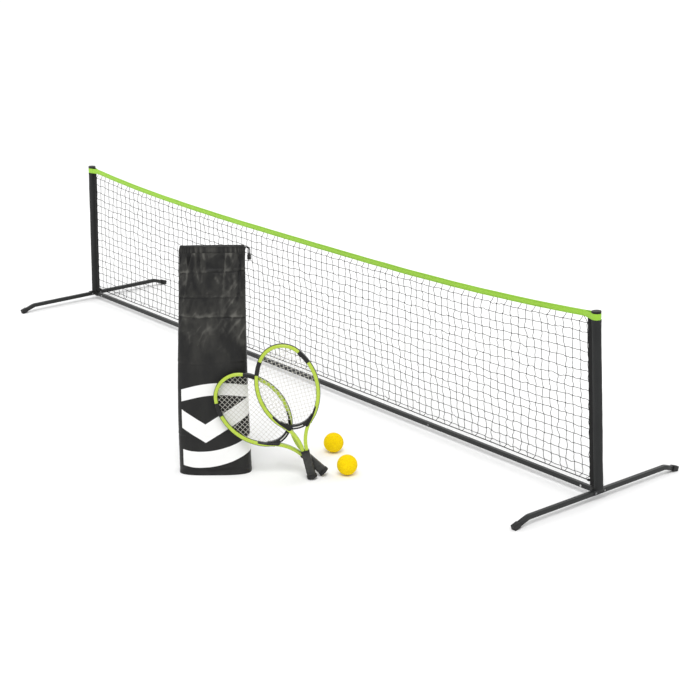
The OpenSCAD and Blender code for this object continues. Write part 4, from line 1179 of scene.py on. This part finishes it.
def yoke_lips(matrix, where, body):
    """Thin lips of the yoke that wrap the inner half of each arm, and a pale inlay in its bridge."""
    lips, inlay = Mesh(), Mesh()
    for side in (-1, 1):
        arm = list(arm_line(48))
        path = [(side * x, y, side * nx, ny) for x, y, nx, ny, t in arm]
        lips.add(*along_path(path, [lip_section(t) for *_, t in arm]))
    lips.done(where + "_yoke_lips", "trim", body, "racket_plastic", smooth=False, matrix=matrix)
    for face in (-1, 1):
        line, normals = [], []
        for k in range(21):
            a = radians(-90 - 13 + 26 * k / 20)
            r = TIP_R - 0.0017
            line.append((r * cos(a), HEAD_FOOT + r * sin(a), face * (BEAM / 2 + 0.0004)))
            normals.append((cos(a), sin(a), 0))
        inlay.add(*sweep(line, normals, rounded_section(0.0030, 0.0010, 0.0004, 3)))
    inlay.done(where + "_yoke_inlay", "inlay", body, "racket_plastic", matrix=matrix)


MAIN_PITCH, CROSS_PITCH = 0.0112, 0.0122
STRING_R, WEAVE, INTO_FRAME = 0.00065, 0.0008, 0.0015
GROMMET_R, GROMMET_L, SHORT_CROSS = 0.0015, 0.0028, 0.03


def string_bed(matrix, where, body):
    """Main and cross strings that pass over and under each other, into grommets in the frame."""
    bed, grommets = Mesh(), Mesh()
    mains = [(k - 7.5) * MAIN_PITCH for k in range(16)]
    crosses = [OVAL_Y + (k - 8.5) * CROSS_PITCH - 0.002 for k in range(20)]
    for along_x, places, first, pitch, steps, weave in (
            (False, mains, crosses[0] - OVAL_Y, CROSS_PITCH, 110, WEAVE),
            (True, crosses, mains[0], MAIN_PITCH, 90, -WEAVE)):
        for n, place in enumerate(places):
            reach = oval_limit(along_x, place)
            if reach < SHORT_CROSS:
                continue
            reach += INTO_FRAME
            line = []
            for s in np.arange(-reach, reach + 0.0005, 2 * reach / steps):
                z = weave * cos(pi * ((s - first) / pitch + n)) * (abs(s) < reach - 0.006)
                line.append((s, place, z) if along_x else (place, OVAL_Y + s, z))
            tube(bed, line, STRING_R, 7, (0, 0, 1))
            for s in (-reach, reach):
                inner = s - GROMMET_L * (1 if s > 0 else -1)
                ends = [(e, place, 0) if along_x else (place, OVAL_Y + e, 0) for e in (s, inner)]
                tube(grommets, ends, GROMMET_R, 10, (0, 0, 1))
    bed.done(where + "_woven_strings", "string", body, "racket_string", body + "_strings", matrix=matrix)
    grommets.done(where + "_grommets", "trim", body, "racket_plastic", matrix=matrix)


def guard_strips(matrix, where, body):
    """Black strip in the groove round the outside of the head, and the grommet strip inside it."""
    throat = HEAD_FOOT - TIP_R * sin(THROAT_TURN)
    head = [p for p in both_halves(half_line(4)) if p[1] > throat - 0.016]
    inside = [p for p in head if p[1] > throat + 0.002]
    strips = Mesh()
    for run, offset, width, thick in ((head, TUBE_W / 2 + 0.0004, 0.0110, 0.0022),
                                      (inside, -TUBE_W / 2 - 0.0001, 0.0054, 0.0012)):
        strips.add(*along_path(run, rounded_section(thick, width, thick * 0.45, 3), offset))
    strips.done(where + "_guard_strips", "trim", body, "racket_plastic", matrix=matrix)


def octagon(w, t):
    """Radius at an angle of the handle's section: flats on eight sides, and softened corners."""
    bevel = (w + t) * 0.3

    def radius(a):
        c, s = abs(cos(a)), abs(sin(a))
        flats = [(w / 2) / c if c > 1e-6 else 1, (t / 2) / s if s > 1e-6 else 1,
                 bevel / (0.70711 * (c + s))]
        soft = sum(1 / f ** 14 for f in flats) ** (-1 / 14)
        return min(*flats, soft * 1.02)
    return radius


def grip_wrap(matrix, where, body):
    """Tape wound up the handle, each turn lapping over the edge of the last."""
    pitch, around, levels, length = 0.0165, 96, 150, GRIP_TOP - GRIP_FOOT
    points = []
    for j in range(levels + 1):
        y = GRIP_FOOT + length * j / levels
        flare = HANDLE_FLARE * (1 - (y - GRIP_FOOT) / length)
        radius = octagon(HANDLE_W + flare, HANDLE_T + flare)
        for i, a in enumerate(turns(around)):
            lap = ((y - GRIP_FOOT) / pitch + i / around) % 1.0
            step = 0.0008 * min(1.0, lap / 0.08) * (1 - 0.55 * lap)
            ends = min(1.0, min(j, levels - j) / 2 + 0.3)
            r = radius(a) - 0.0009 + step * ends
            points.append((r * cos(a), y, -r * sin(a)))
    faces = grid_faces(levels + 1, around)
    faces.append(tuple(range(around - 1, -1, -1)))
    faces.append(tuple(levels * around + i for i in range(around)))
    piece(where + "_wound_grip", points, faces, "grip", body, "grip_wrap", body + "_grip", matrix=matrix)


def make_racket(where, plane, at, tilt):
    matrix = racket_matrix(plane, at, tilt)
    body = where + "_racket"
    verts, faces = along_path(both_halves(half_line(4)), rounded_section(TUBE_W, BEAM, TUBE_R, 7))
    piece(where + "_bent_tube", verts, faces, "lacquer", body, "racket_lacquer", body + "_frame",
          matrix=matrix)
    for make in (guard_strips, yoke_lips, string_bed, grip_wrap):
        make(matrix, where, body)
    wing_top = matrix @ Vector((0, OVAL_Y - OVAL_A + WING_H, 0)), matrix.to_3x3() @ Vector((0, 1, 0))
    bevelled(body + "_yoke", 0.0014, "trim", body, 3, wing_top)
    bevelled(body + "_bands", 0.0004, "trim", body)
    bevelled(body + "_collar", 0.0009, "collar", body, 3)
    dress(body + "_core", "core")
    dress(body + "_butt", "collar")


make_racket("rear", PLANE_REAR, REAR_AT, REAR_TILT)
make_racket("front", PLANE_FRONT, FRONT_AT, FRONT_TILT)


# ---- balls
def make_ball(number, body):
    low, high = (Vector(c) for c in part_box(f"ball_{number}"))
    centre = (low + high) / 2
    radius = (high.z - low.z) / 2
    shape, faces = unit_ball(6)
    points = []
    for v in shape:
        d = v.normalized()
        pore = noise.noise(d * 55 + Vector((number, 0, 0)))
        soft = noise.noise(d * 3 + Vector((0, number, 0)))
        points.append(centre + d * (radius - 0.00035 + 0.00025 * pore + 0.0001 * soft))
    ball = piece(f"foam_ball_{number}", points, faces, "foam", body, "foam", f"ball_{number}")


make_ball(1, "first_ball")
make_ball(2, "second_ball")


# ---- floor, light and backdrop
FLOOR_HALF, WORLD_LIGHT, SUN_LIGHT, SUN_ANGLE = 14, 0.72, 1.5, radians(32)
SUN_AIM, LAMP_AIM, LAMP_SIZE = Vector((-0.42, 0.36, -1.0)), Vector((0.3, -0.3, 0.2)), 2.5
LAMPS = (("fill", Vector((-2.8, -2.6, 2.6)), 22), ("rim", Vector((0.5, 3.6, 3.0)), 30))


def make_floor():
    """Pale floor that keeps the shadows."""
    m = Nodes("studio_floor", grey(0.93), 0.9)
    m.colour(m.mix(m.noise(3, 2), grey(0.925), grey(0.935)))
    mesh = bpy.data.meshes.new("floor")
    corners = [(x * FLOOR_HALF, y * FLOOR_HALF, 0) for x, y in ((-1, -1), (1, -1), (1, 1), (-1, 1))]
    mesh.from_pydata(corners, [], [(0, 1, 2, 3)])
    mesh.materials.append(m.mat)
    put("floor", mesh)


def make_world():
    """Even light on the object; the camera and mirrored or passed rays see plain white."""
    world = bpy.data.worlds.new("studio")
    bpy.context.scene.world = world
    world.use_nodes = True
    air = Tree(world.node_tree)
    nodes = world.node_tree.nodes
    light = nodes["Background"]
    air.feed(light, {"Color": (1, 1, 1, 1), "Strength": WORLD_LIGHT})
    seen = air.new("Background", 0, {"Color": (1, 1, 1, 1), "Strength": 1.0})
    rays = nodes.new("ShaderNodeLightPath").outputs
    direct = air.math("MAXIMUM", rays["Is Camera Ray"], rays["Is Glossy Ray"])
    direct = air.math("MAXIMUM", direct, rays["Is Transmission Ray"])
    mixed = air.new("MixShader", 0, {0: direct, 1: light.outputs[0], 2: seen})
    air.feed(nodes["World Output"], {"Surface": mixed})


def aim(lamp, direction):
    lamp.rotation_mode = "QUATERNION"
    lamp.rotation_quaternion = direction.to_track_quat("-Z", "Y")


def make_lamps():
    sun = bpy.data.lights.new("key", "SUN")
    sun.energy, sun.angle = SUN_LIGHT, SUN_ANGLE
    aim(put("key", sun), SUN_AIM)
    for name, place, watts in LAMPS:
        data = bpy.data.lights.new(name, "AREA")
        data.energy, data.size = watts, LAMP_SIZE
        lamp = put(name, data)
        lamp.location = place
        aim(lamp, LAMP_AIM - place)


make_floor()
make_world()
make_lamps()
bpy.context.scene.view_settings.view_transform = "Standard"
